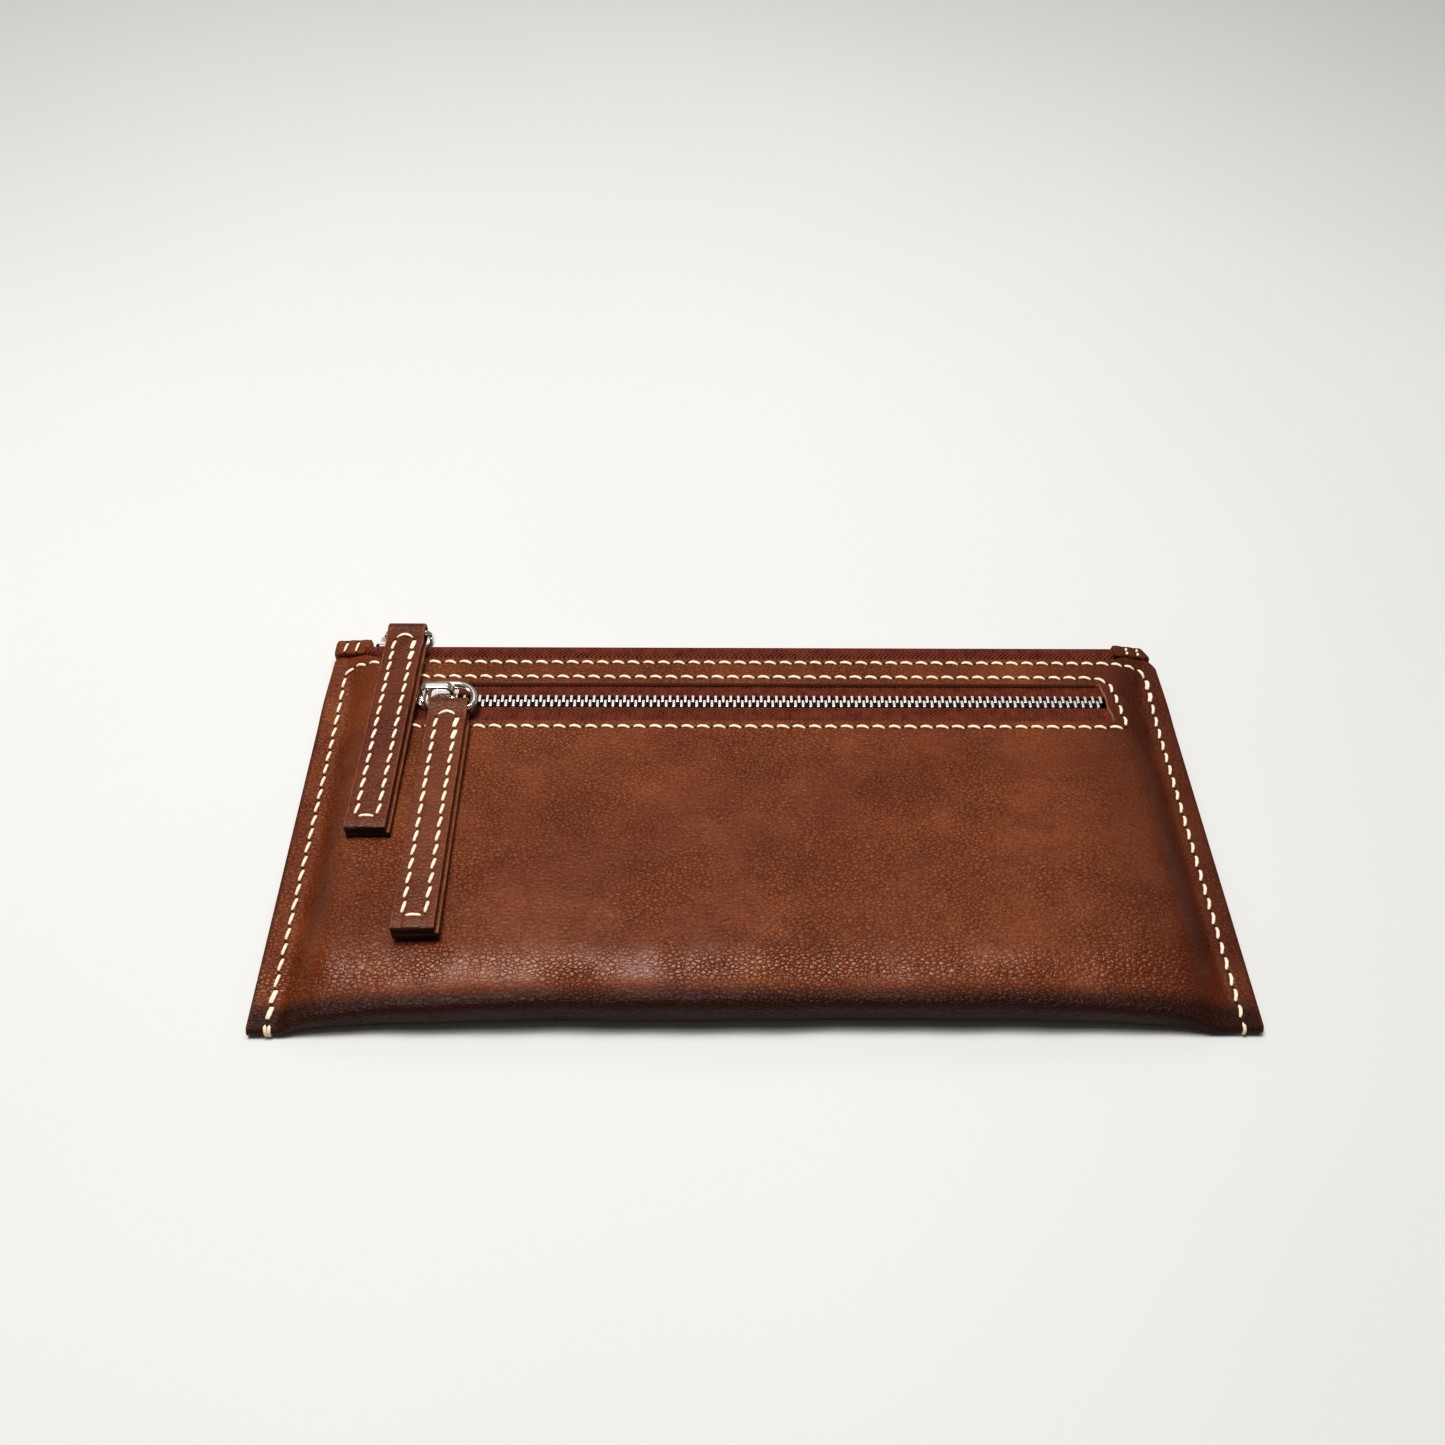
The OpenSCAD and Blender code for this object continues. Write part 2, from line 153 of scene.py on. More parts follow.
class Shape:
    """Vertices in millimetres and faces with a material number, gathered before they become a mesh."""

    def __init__(self):
        self.points, self.faces, self.paint = [], [], []
        self.count = 0

    def add(self, points, faces, paint=0):
        points = np.asarray(points, float).reshape(-1, 3)
        self.points.append(points)
        self.faces += [tuple(self.count + k for k in f) for f in faces]
        self.paint += list(paint) if hasattr(paint, "__len__") else [paint] * len(faces)
        self.count += len(points)

    def tube(self, rings, paint=0, closed=False):
        """Skin over equal rings of points, with a flat cap at each end unless it closes on itself."""
        rings = np.asarray(rings, float)
        n, m = rings.shape[:2]
        faces = grid_faces(n, m, wrap_rows=closed, wrap_cols=True)
        if not closed:
            faces += [tuple(reversed(range(m))), tuple((n - 1) * m + k for k in range(m))]
        self.add(rings.reshape(-1, 3), faces, paint)

    def build(self, name, materials, body, slot, replaces=(), place=None):
        """Makes the mesh piece, in metres, riding on a CAD body."""
        points = np.concatenate(self.points)
        if place is not None:
            points = place(points)
        mesh = bpy.data.meshes.new(name)
        mesh.from_pydata((points * MM).tolist(), [], self.faces)
        for m in materials:
            mesh.materials.append(m)
        mesh.polygons.foreach_set("material_index", self.paint)
        mesh.polygons.foreach_set("use_smooth", [True] * len(self.faces))
        mesh.update()
        piece = add_object(name, mesh)
        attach(piece, body)
        if replaces:
            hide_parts(*replaces)
        return piece


def circle_ring(centre, across, up, rx, ry, sides):
    """Points of an ellipse round a centre, in the plane of two unit directions."""
    t = np.linspace(0, TAU, sides, endpoint=False)[:, None]
    return centre + across * rx * np.cos(t) + up * ry * np.sin(t)


def rounded_bar(width, height, radius, corner_steps=5, top_steps=1):
    """Outline of a rounded rectangle, anticlockwise, as (across, up) points."""
    out = []
    hw, hh = width / 2 - radius, height / 2 - radius
    for cx, cy, a0 in ((hw, hh, 0), (-hw, hh, 90), (-hw, -hh, 180), (hw, -hh, 270)):
        for k in range(corner_steps + 1):
            a = math.radians(a0 + 90 * k / corner_steps)
            out.append((cx + radius * math.cos(a), cy + radius * math.sin(a)))
        if a0 in (0, 180):
            for k in range(1, top_steps):
                t = k / top_steps
                out.append((mix(cx, -cx, t), cy + math.copysign(radius, cy)))
    return np.array(out)


def add_modifier(piece, kind, **settings):
    m = piece.modifiers.new(kind.title(), kind)
    for key, value in settings.items():
        setattr(m, key, value)


def soften(piece, width, segments, angle, **more):
    """Rounds the edges where a piece turns by more than the given angle."""
    add_modifier(piece, "BEVEL", width=width * MM, segments=segments, limit_method="ANGLE",
                 angle_limit=math.radians(angle), **more)


# -------------------- the folded leather surface
FOLD_UPPER = 0.7
FOLD_LOWER = 0.8
CORNER_OPEN = 1.7
CORNER_FADE = 24.0


def section(s, strip):
    """Point (y, z) at distance s round the section, from the front mouth edge over the fold to the back one.

    strip is False for the full middle and True for the flat sewn sides, whose parts scale to the same s.
    """
    s = np.asarray(s, float)
    top = SEAM_T + CORNER_OPEN * (1 - smooth(s / CORNER_FADE)) if strip else MOUTH_T
    mouth_y = HALF_H if strip else MOUTH_Y
    r = SEAM_T / 2 if strip else FOLD_R
    centre_y = -HALF_H + r if strip else FOLD_Y
    start = math.pi / 2 - (0 if strip else SLOPE)
    front = np.clip(s / FACE_L, None, 1)
    turn = np.clip((s - FACE_L) / FOLD_L, 0, 1)
    back = np.clip((s - FACE_L - FOLD_L) / BACK_L, 0, None)
    angle = start + (1.5 * math.pi - start) * turn
    across, up = np.cos(angle), np.sin(angle)
    if not strip:
        power = np.where(up > 0, FOLD_UPPER, FOLD_LOWER)
        across = np.where(across < 0, -(np.abs(across) ** power), across)
        up = np.sign(up) * np.where(angle > math.pi / 2, np.abs(up) ** power, up)
    arc_y, arc_z = centre_y + r * across, r + r * up
    front_y = mix(mouth_y, centre_y + r * math.cos(start), front)
    front_z = mix(top, r + r * math.sin(start), front)
    y = np.where(s < FACE_L, front_y, np.where(turn < 1, arc_y, mix(centre_y, mouth_y, back)))
    z = np.where(s < FACE_L, front_z, np.where(turn < 1, arc_z, 0.0))
    return y, z


def side_fall(x, s):
    """0 where the pouch is full and 1 on the flat sewn strip; the shoulder is much longer at the fold."""
    depth = np.clip(s / (FACE_L + FOLD_L / 2), 0, 1)
    start = mix(94.5, 92.0, depth)
    end = STRIP_X - 0.3 + 3.2 * (1 - smooth(s / 14))
    side = smooth(np.clip((np.abs(x) - start) / (end - start), 0, 1) ** 1.25)
    fold_end = np.where(x > 0, 99.0, STRIP_X - 0.3)
    t = np.clip((np.abs(x) - 50) / (fold_end - 50), 0, 1)
    return np.maximum(side, mix(side, 0.45 * t**1.15 + 0.55 * t**8, smooth((depth - 0.74) / 0.24)))


CREASES = [
    # x and distance from the mouth of the two ends, depth and width of each crease by the window
    ((97.0, 11.0), (103.2, 17.5), -0.62, 1.6),
    ((95.8, 14.5), (103.0, 24.0), 0.66, 1.4),
    ((97.6, 22.5), (103.0, 33.0), -0.5, 1.8),
    ((97.5, 30.0), (101.5, 46.0), 0.34, 2.2),
    ((-103.0, 24.0), (-98.5, 40.0), 0.26, 2.0),
    ((-103.0, 52.0), (-98.0, 66.0), -0.26, 2.2),
    ((99.0, 64.0), (102.5, 84.0), 0.16, 2.0),
]


def crease_height(x, s):
    total = np.zeros(np.broadcast(x, s).shape)
    for (xa, sa), (xb, sb), height, width in CREASES:
        dx, ds = xb - xa, sb - sa
        length = math.hypot(dx, ds)
        along = ((x - xa) * dx + (s - sa) * ds) / length
        off = ((x - xa) * ds - (s - sa) * dx) / length + 0.9 * np.sin(math.pi * along / length)
        ends = smooth(along / (0.3 * length)) * smooth((length - along) / (0.3 * length))
        total += height * bell(off, width) * ends
    return total


def relief(x, s):
    """Height of the leather over its plain shape: slow waves, creases, and the pull of the seams."""
    waves = 0.16 * np.sin(x / 17.0 + 0.8 * np.sin(s / 19.0)) * np.sin(s / 23.0 + 0.7)
    waves += 0.10 * np.sin(x / 9.1 + s / 14.0 + 1.1) + 0.05 * np.sin(x / 5.3 - s / 6.1)
    inside = 1 - smooth((np.abs(x) - 92) / 8)
    front = smooth((s - 30) / 12)
    near_fold = bell(s - FACE_L - 2, 14)
    ripple = 0.10 * np.sin(x / 3.1 + 1.3 * np.sin(s / 5.0)) * near_fold
    crown = 0.75 * np.sin(math.pi * np.clip((s - 26) / (FACE_L - 20), 0, 1)) ** 2
    roll = np.clip((s - FACE_L + 15) / 15, 0, 1) ** 1.9 * (1 - smooth((s - FACE_L) / 9))
    roll *= 1.9 * (1 - side_fall(x, s))
    height = inside * (front * (waves + crown) + ripple) - roll + crease_height(x, s)
    seam = bell(np.abs(x) - SEAM_X, 0.55)
    edge = bell(np.abs(x) - STRIP_X, 0.9) * (s > 4) * (s < FACE_L)
    height = height - 0.14 * seam - 0.16 * edge
    on_window = (x > WINDOW_ROW_X0) & (x < WINDOW_ROW_X)
    for row in (WINDOW_ROW_TOP, WINDOW_ROW_FOOT):
        height = height - 0.13 * bell(s - row, 0.5) * on_window
    height = height - 0.13 * bell(s - TOP_ROW, 0.5) * (np.abs(x) < SEAM_X - 2)
    back_row = TOTAL_L - TOP_ROW
    height = height - 0.3 * bell(s - back_row, 0.6) * (np.abs(x) < SEAM_X)
    on_back = s > FACE_L + 0.7 * FOLD_L
    return np.where(on_back, -0.4 * seam - 0.4 * bell(s - back_row, 0.6), height)


def plain_point(x, s):
    x, s = np.broadcast_arrays(np.asarray(x, float), np.asarray(s, float))
    fall = side_fall(x, s)
    ya, za = section(s, False)
    yb, zb = section(s, True)
    from_mouth = np.minimum(s, TOTAL_L - s)
    drawn_in = 0.9 * (1 - smooth(from_mouth / 18)) * smooth((np.abs(x) - SEAM_X - 0.4) / 3.5)
    return np.stack([x - np.sign(x) * drawn_in, mix(ya, yb, fall), mix(za, zb, fall)], -1)


def plain_normal(x, s):
    h = 0.05
    du = plain_point(np.asarray(x) + h, s) - plain_point(np.asarray(x) - h, s)
    ds = plain_point(x, np.asarray(s) + h) - plain_point(x, np.asarray(s) - h)
    return unit(np.cross(ds, du))


def leather(x, s, lift=0.0):
    """Point at the given height over the outside of the leather."""
    x, s = np.broadcast_arrays(np.asarray(x, float), np.asarray(s, float))
    return plain_point(x, s) + plain_normal(x, s) * (relief(x, s) + lift)[..., None]


def spaced(stops):
    """Grid lines through every stop, with about the given step up to the next one."""
    lines = []
    for (a, step), (b, _) in zip(stops, stops[1:]):
        lines += np.linspace(a, b, max(1, round((b - a) / step)), endpoint=False).tolist()
    return np.array(lines + [stops[-1][0]])


def leather_columns():
    seam = [(SEAM_X - 1.4, 0.28), (SEAM_X + 1.4, 0.5), (HALF_W - 1.2, 0.2), (HALF_W, 0)]
    right = [(STRIP_X - 14, 0.5), (WINDOW_X1, 0.45)] + seam
    left = [(-HALF_W, 0.2), (1.2 - HALF_W, 0.5), (-SEAM_X - 1.4, 0.28), (-SEAM_X + 1.4, 0.45),
            (WINDOW_X0, 0.6)]
    return spaced(left + right)


def mouth_trim(x):
    """How far the mouth edge is cut back: a little in the middle, and round at both corners."""
    corner = np.where(x > 0, 4.0, 2.0)
    over = np.clip(np.abs(x) - HALF_W + corner, 0, corner)
    round_off = corner - np.sqrt(corner**2 - (0.98 * over) ** 2)
    return 1.9 * (1 - smooth((np.abs(x) - 95) / 7)) + round_off


def window_wave(x, s):
    """Sideways drift of the window's right edge, which was cut by hand."""
    drift = 0.07 * (s - WINDOW_TOP - 8) + 0.16 * np.sin(0.9 * s)
    return drift * bell(x - WINDOW_X1, 1.6) * (s < 34) * (s > 4)


def leather_rows():
    return spaced([
        (0, 0.42), (WINDOW_TOP, 0.8), (WINDOW_FOOT, 0.42), (29, 0.8), (FACE_L - 14, 0.6),
        (FACE_L + FOLD_L, 2.0), (TOTAL_L - 5, 0.42), (TOTAL_L, 0),
    ])


def make_leather_body(skin, edge, flesh):
    x, s = leather_columns(), leather_rows()
    reach = 8.0
    trim = mouth_trim(x)[None, :]
    rows = s[:, None] + trim * np.clip(1 - s[:, None] / reach, 0, 1)
    rows = rows - trim * np.clip(1 - (TOTAL_L - s[:, None]) / reach, 0, 1)
    grid = leather(x[None, :] + window_wave(x[None, :], rows), rows)
    mid_x, mid_s = (x[1:] + x[:-1]) / 2, (s[1:] + s[:-1]) / 2
    in_x = (mid_x > WINDOW_X0) & (mid_x < WINDOW_X1)
    in_s = (mid_s > WINDOW_TOP) & (mid_s < WINDOW_FOOT)
    shape = Shape()
    faces = grid_faces(len(s), len(x), skip=in_s[:, None] & in_x[None, :])
    shape.add(grid, [f[::-1] for f in faces])
    body = shape.build("leather_shell", [skin, edge, flesh], "pouch", "leather", ["leather_body"])
    add_modifier(body, "SOLIDIFY", thickness=(LEATHER_T - 0.05) * MM, offset=-1, use_even_offset=False,
                 use_quality_normals=True, material_offset=2, material_offset_rim=1)
    soften(body, 0.28, 2, 50, harden_normals=False, loop_slide=False)


# -------------------- stitching
SLANT = math.tan(math.radians(10))
STITCH_FILL = 0.88
STITCH_BOW = 0.16
rng = random.Random(7)


def strand(shape, a, b, up, radius, bow=0.0, rise=1.0):
    """One two-ply stitch from a to b: its ends dip into the leather and its middle stands proud."""
    rings, sides = 13, 10
    length = np.linalg.norm(b - a)
    along = (b - a) / length
    left = unit(np.cross(up, along))
    t = np.linspace(0, 1, rings)
    arch = np.sin(math.pi * t)
    height = radius * (-0.95 + 1.55 * rise * arch**0.55)
    wide = radius * (0.5 + 0.5 * arch**0.45)
    centres = a + np.outer(t * length, along) + np.outer(height, up) + np.outer(bow * arch, left)
    twist = 2.6 * math.pi * t + rng.uniform(0, math.pi)
    angle = np.linspace(0, TAU, sides, endpoint=False)
    lobes = 0.92 + 0.06 * np.cos(2 * (angle[None, :] - twist[:, None]))
    across = (wide[:, None] * lobes * np.cos(angle))[..., None] * left
    over = (0.85 * wide[:, None] * lobes * np.sin(angle))[..., None] * up
    shape.tube(centres[:, None, :] + across + over)


def needle_hole_shade(shape, at, along, up, size):
    """Dark slit that the thread goes into, cut at a slant across its row: a flat disc whose near-black
    colour is painted shade of the hole.
    """
    left = unit(np.cross(up, along))
    slit = unit(along + 0.9 * left)
    wide = unit(np.cross(up, slit))
    rim = circle_ring(at + 0.045 * up, slit, wide, size, 0.52 * size, 12)
    middle = at + 0.05 * up
    shape.add(np.vstack([rim, middle]), [(k, (k + 1) % 12, 12) for k in range(12)])


class Row:
    """A run of stitches along a line of points on a surface, with the surface's normal or normals."""

    def __init__(self, points, normals):
        self.points = np.asarray(points)
        self.normals = np.broadcast_to(normals, self.points.shape)
        steps = np.linalg.norm(np.diff(self.points, axis=0), axis=1)
        self.dist = np.concatenate([[0], np.cumsum(steps)])

    def at(self, d):
        point = np.array([np.interp(d, self.dist, values) for values in self.points.T])
        normal = np.array([np.interp(d, self.dist, values) for values in self.normals.T])
        return point, unit(normal)

    def sew(self, thread, holes, pitch=STITCH_PITCH, double=(), radius=THREAD_R, rise=1.0):
        count = max(1, round(self.dist[-1] / pitch))
        step = self.dist[-1] / count
        half = step * STITCH_FILL / 2
        for k in range(count):
            mid = (k + 0.5) * step + rng.uniform(-0.06, 0.06)
            reach = half * rng.uniform(0.95, 1.03)
            a, _ = self.at(mid - reach)
            b, _ = self.at(mid + reach)
            _, up = self.at(mid)
            left = unit(np.cross(up, b - a))
            lean = left * reach * SLANT * rng.uniform(0.8, 1.2)
            doubled = k in double or k - count in double
            for side in ((-0.22, 0.22) if doubled else (0,)):
                shift = left * side
                strand(thread, a + lean + shift, b - lean + shift, up, radius * (0.9 if doubled else 1),
                       STITCH_BOW, rise)
        for k in range(count + 1):
            here, up = self.at(k * step)
            after, _ = self.at(k * step + 0.2)
            before, _ = self.at(k * step - 0.2)
            needle_hole_shade(holes, here, unit(after - before), up, 0.5)


def build_sewing(name, thread, holes, sewing, node, body="pouch", place=None):
    """Makes the stitches of a CAD thread, and their needle holes."""
    cord, dark = sewing
    thread.build(f"{name}_stitches", [cord], body, "thread", [node], place)
    holes.build(f"{name}_holes", [dark], body, "thread", (), place)


def leather_row(x, s):
    """Row over the leather; either x or s may be one number for the whole row."""
    return Row(leather(x, s), plain_normal(x, s))


def bend(centre, radius, start, end, steps=8):
    """Points of an arc on the leather, as x and distance from the mouth; 90 degrees points to the mouth."""
    t = np.radians(np.linspace(start, end, steps + 1))
    return centre[0] + radius * np.cos(t), centre[1] - radius * np.sin(t)


CORNER_R = 2.2


def seam_line(side, s_end):
    """Side seam from the end of the top row round the corner and down to the fold."""
    cx, cs = bend((side * (SEAM_X - CORNER_R), TOP_ROW + CORNER_R), CORNER_R, 90, 0 if side > 0 else 180)
    down = np.linspace(TOP_ROW + CORNER_R + 0.5, s_end, 160)
    return np.concatenate([cx, np.full(160, side * SEAM_X)]), np.concatenate([cs, down])


def window_line():
    """Stitching along the window's top and round its right end; the row under it is sewn on its own."""
    inner = WINDOW_ROW_X - 5.6
    cx, cs = bend((inner, WINDOW_ROW_TOP + WINDOW_BEND_R), WINDOW_BEND_R, 90, 15)
    side_x = np.linspace(cx[-1], WINDOW_ROW_X - 0.1, 12)[1:]
    side_s = np.linspace(cs[-1], WINDOW_ROW_FOOT - 0.5, 12)[1:]
    top_x = np.linspace(WINDOW_ROW_X0, inner - 0.3, 120)
    return (np.concatenate([top_x, cx, side_x]),
            np.concatenate([np.full(120, WINDOW_ROW_TOP), cs, side_s]))


def make_pouch_stitching(sewing):
    for name, side in (("left", -1), ("right", 1)):
        thread, holes = Shape(), Shape()
        x, s = seam_line(side, FACE_L - 1.0)
        leather_row(x, s).sew(thread, holes, double=(-1, -2) if side < 0 else (1, 2))
        wrap = np.linspace(FACE_L - 0.4, FACE_L + FOLD_L - 1.0, 24)
        wrap_over(leather_row(side * SEAM_X, wrap), thread, 2 if side < 0 else 1)
        back_s = np.linspace(FACE_L + FOLD_L + 1, TOTAL_L - TOP_ROW, 120)
        leather_row(side * SEAM_X, back_s).sew(thread, holes, rise=0.4)
        build_sewing(f"{name}_seam", thread, holes, sewing, f"{name}_seam_thread")
    thread, holes = Shape(), Shape()
    reach = SEAM_X - CORNER_R
    x = np.linspace(-reach, reach, 260)
    leather_row(x, TOP_ROW).sew(thread, holes)
    x = np.linspace(SEAM_X - 1, 1 - SEAM_X, 260)
    leather_row(x, TOTAL_L - TOP_ROW).sew(thread, holes, rise=0.4)
    build_sewing("mouth_seam", thread, holes, sewing, "top_seam_thread")
    thread, holes = Shape(), Shape()
    leather_row(*window_line()).sew(thread, holes)
    x = np.linspace(WINDOW_ROW_X0, WINDOW_ROW_X - 0.9, 140)
    leather_row(x, WINDOW_ROW_FOOT).sew(thread, holes)
    build_sewing("window", thread, holes, sewing, "window_thread")


def wrap_over(row, thread, strands):
    """Closing turns of thread that go round the fold to the back."""
    n = len(row.points)
    radius = 0.42
    side = np.array([1.0, 0, 0])
    t = np.linspace(0, 1, n)
    ends = np.minimum(1, np.minimum(t, 1 - t) * 9)
    for k in range(strands):
        shift = (k - (strands - 1) / 2) * 0.75
        centres = row.points + row.normals * (radius * (ends - 0.75))[:, None]
        centres = centres + side * (shift + 0.25 * np.sin(2.2 * t + k))[:, None]
        centres[:, 2] = np.maximum(centres[:, 2], 0.8 * radius)
        rings = []
        for c, up, e in zip(centres, row.normals, ends):
            rings.append(circle_ring(c, side, up, radius * (0.6 + 0.4 * e), radius * 0.8, 10))
        thread.tube(rings)


# -------------------- places on the zips, in millimetres
def on_face(p):
    """From the face's frame (x, distance up from the mouth, height over the leather) to the row frame."""
    x, v, w = np.moveaxis(np.asarray(p, float), -1, 0)
    c, s = math.cos(SLOPE), math.sin(SLOPE)
    return np.stack([x, MOUTH_Y + v * c + w * s, MOUTH_T - v * s + w * c], -1)


def on_front_chain(p):
    return on_face(np.asarray(p, float) + [0, -WINDOW_MID, -TAPE_SINK])


def on_top_chain(p):
    x, y, z = np.moveaxis(np.asarray(p, float), -1, 0)
    return np.stack([x, CHAIN_Y + z, CHAIN_Z - y], -1)


# -------------------- zips
TOOTH_HALF_W = 0.36
TOOTH_HALF_T = 1.12


def tooth(side, x):
    """One tooth of a metal chain: a bar clamped on the tape's cord, with a head that meets the other row."""
    outline = [(2.1, 0.6), (2.05, TOOTH_HALF_T - 0.12), (1.95, TOOTH_HALF_T), (-0.3, TOOTH_HALF_T),
               (-0.42, TOOTH_HALF_T - 0.14), (-0.46, 0.5)]
    loop = outline + [(y, -z) for y, z in reversed(outline)]
    return [[(x + dx, side * y, z) for y, z in loop][::side] for dx in (-TOOTH_HALF_W, TOOTH_HALF_W)]


def tooth_row(name, node, side, reach, place, metal):
    """Row of teeth between the two ends of reach, one every pitch, with the rows of side -1 set half a pitch
    along.
    """
    x0, x1 = reach
    shape = Shape()
    shift = 0 if side > 0 else TOOTH_PITCH / 2
    count = int((x1 - x0 - shift - 0.9) // TOOTH_PITCH)
    for k in range(count + 1):
        x = x0 + shift + k * TOOTH_PITCH + 0.45 + rng.uniform(-0.02, 0.02)
        shape.tube(tooth(side, x))
    piece = shape.build(name, [metal], "pouch", "zip_metal", [node], place)
    soften(piece, 0.07, 2, 30)
    add_modifier(piece, "WEIGHTED_NORMAL", weight=60)
    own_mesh(piece)


def tape_sheet(name, node, section_at, reach, cloth):
    """Tape swept along X from its section, which gives points in the row frame at each x."""
    x0, x1 = reach
    shape = Shape()
    shape.tube([section_at(x) for x in np.linspace(x0, x1, int((x1 - x0) / 0.9))])
    piece = shape.build(name, [cloth], "pouch", "zip_tape", [node])
    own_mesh(piece)


def left_of(path):
    """Unit direction to the left of a flat path at each of its points."""
    ahead = np.gradient(path, axis=0)
    return unit(np.stack([-ahead[:, 1], ahead[:, 0]], -1))


def thinned(path, gap):
    """The path without the points that lie within the gap of the one before."""
    return path[np.concatenate([[True], np.linalg.norm(np.diff(path, axis=0), axis=1) > gap])]


def strip_ring(middle, half):
    """Closed outline of an even strip along a flat path of (a, b) points."""
    side = left_of(middle) * half
    return np.vstack([middle + side, (middle - side)[::-1]])


def curve_through(points, steps):
    """Smooth line through control points, as a Catmull-Rom spline."""
    p = np.asarray(points, float)
    p = np.vstack([2 * p[0] - p[1], p, 2 * p[-1] - p[-2]])
    out = []
    for i in range(1, len(p) - 2):
        for t in np.linspace(0, 1, steps, endpoint=False):
            a, b, c, d = p[i - 1], p[i], p[i + 1], p[i + 2]
            out.append(0.5 * (2 * b + (c - a) * t + (2 * a - 5 * b + 4 * c - d) * t * t
                              + (3 * b - a - 3 * c + d) * t**3))
    return np.array(out + [p[-2]])


def front_tape_section(side):
    """Section of a window tape: flat behind the leather, with a cord along the chain."""
    y = np.array([WINDOW_TAPE_HALF, 9.5, 7.6, 6.0, 4.8, 3.8, 3.1, 2.7, 2.35, 2.05, 1.85])
    swell = np.array([0, 0, 0, 0, 0.02, 0.04, 0.1, 0.3, 0.5, 0.45, 0.2])

    def at(x):
        wave = 0.07 * math.sin(x / 7.3 + side) + 0.05 * math.sin(x / 3.1)
        sag = wave * np.sin(np.clip((y - 1.9) / 5, 0, 1) * math.pi)
        ring = np.vstack([np.stack([y, TAPE_T / 2 + swell + sag], -1),
                          np.stack([y, -TAPE_T / 2 - swell + sag], -1)[::-1]])
        points = np.column_stack([np.full(len(ring), x), side * ring[:, 0], ring[:, 1]])
        return on_front_chain(points[:: int(side)])

    return at


def top_tape_section(side):
    """Section of a mouth tape: sewn inside the leather, swelling round the chain and turning in to it."""

    def at(x):
        fall = float(side_fall(x, 0.0))
        mouth = mix(MOUTH_Y, HALF_H, fall)
        outer = mix(MOUTH_T, SEAM_T, fall) if side > 0 else 0.0
        inner = outer - side * (LEATHER_T + 0.32)
        chain = CHAIN_Z + side * (CHAIN_HALF + 0.05)
        wave = 0.05 * math.sin(x / 6.0 + 2 * side) + 0.04 * math.sin(x / 2.7)
        swell = 3.15 if side > 0 else 2.75
        path = [(mouth - 4.5, inner), (mouth - 2, inner), (mouth - 0.4, inner + side * 0.1),
                (CHAIN_Y - 1.6, CHAIN_Z + side * (swell - 0.15 + wave)),
                (CHAIN_Y - 0.7, CHAIN_Z + side * (swell + wave)),
                (CHAIN_Y - 0.05, CHAIN_Z + side * (swell - 0.2)), (CHAIN_Y + 0.15, chain)]
        ring = strip_ring(curve_through(path, 3), TAPE_T / 2)
        return np.column_stack([np.full(len(ring), x), ring])[:: int(side)]

    return at


def make_zips(cloth, metal, fibre):
    for side, word in ((1, "upper"), (-1, "lower")):
        tape_sheet(f"window_tape_{word}", f"front_zip_tape_{word}", front_tape_section(side), WINDOW_TAPE_X,
                   cloth)
        tooth_row(f"window_teeth_{word}", f"front_zip_teeth_{word}", side, WINDOW_TEETH_X, on_front_chain,
                  metal)
    for side, word in ((1, "front"), (-1, "back")):
        tape_sheet(f"mouth_tape_{word}", f"top_zip_tape_{word}", top_tape_section(side), MOUTH_TAPE_X,
                   cloth)
        tooth_row(f"mouth_teeth_{word}", f"top_zip_teeth_{word}", -side, MOUTH_TEETH_X, on_top_chain,
                  metal)
    make_frayed_yarn(fibre)


YARN_COUNT = 70
YARN_R = 0.045


def make_frayed_yarn(fibre):
    """Loose ends of yarn along the upper edge of the window."""
    shape = Shape()
    for _ in range(YARN_COUNT):
        x = rng.gauss(16, 30)
        if not -60 < x < 88:
            continue
        start = np.array([x, WINDOW_MID - WINDOW_TOP - 0.1, 0.3])
        ahead = np.array([rng.uniform(-1.2, 1.2), -rng.uniform(0.2, 1.0), rng.uniform(0.0, 0.35)])
        curl = np.array([rng.uniform(-0.5, 0.5), rng.uniform(-0.2, 0.4), rng.uniform(0, 0.25)])
        rings = []
        for t in np.linspace(0, 1, 6):
            c = start + ahead * t + curl * t * t
            r = YARN_R * (1 - 0.6 * t)
            rings.append(circle_ring(c, np.array([0, 0, 1.0]), unit(np.array([0.3, 1.0, 0])), r, r, 5))
        shape.tube(rings)
    shape.build("frayed_yarn", [fibre], "pouch", "zip_tape", (), on_front_chain)


POCKET_HALF_W = 89
POCKET_TOP = 6
POCKET_FOOT = 84
POCKET_NEAR = 2.9
POCKET_FAR = 4.1


def make_pocket_bag(lining):
    """Two fabric walls of the window pocket, joined round their edge, under the tapes."""
    xs = np.linspace(-POCKET_HALF_W, POCKET_HALF_W, 60)
    ss = np.linspace(POCKET_TOP, POCKET_FOOT, 30)
    shape = Shape()
    for depth, flip in ((POCKET_NEAR, 1), (POCKET_FAR, -1)):
        points = leather(xs[None, :], ss[:, None], -depth)
        shape.add(points, [f[::-flip] for f in grid_faces(len(ss), len(xs))])
    n = len(xs) * len(ss)
    rim = list(range(len(xs))) + [(i + 1) * len(xs) - 1 for i in range(1, len(ss))]
    rim += list(range(n - 2, n - len(xs) - 1, -1)) + [i * len(xs) for i in range(len(ss) - 2, 0, -1)]
    shape.faces += [(b, n + b, n + a, a) for a, b in zip(rim, rim[1:] + rim[:1])]
    shape.paint += [0] * len(rim)
    shape.build("window_pocket", [lining], "pouch", "lining", ["pocket_bag"])


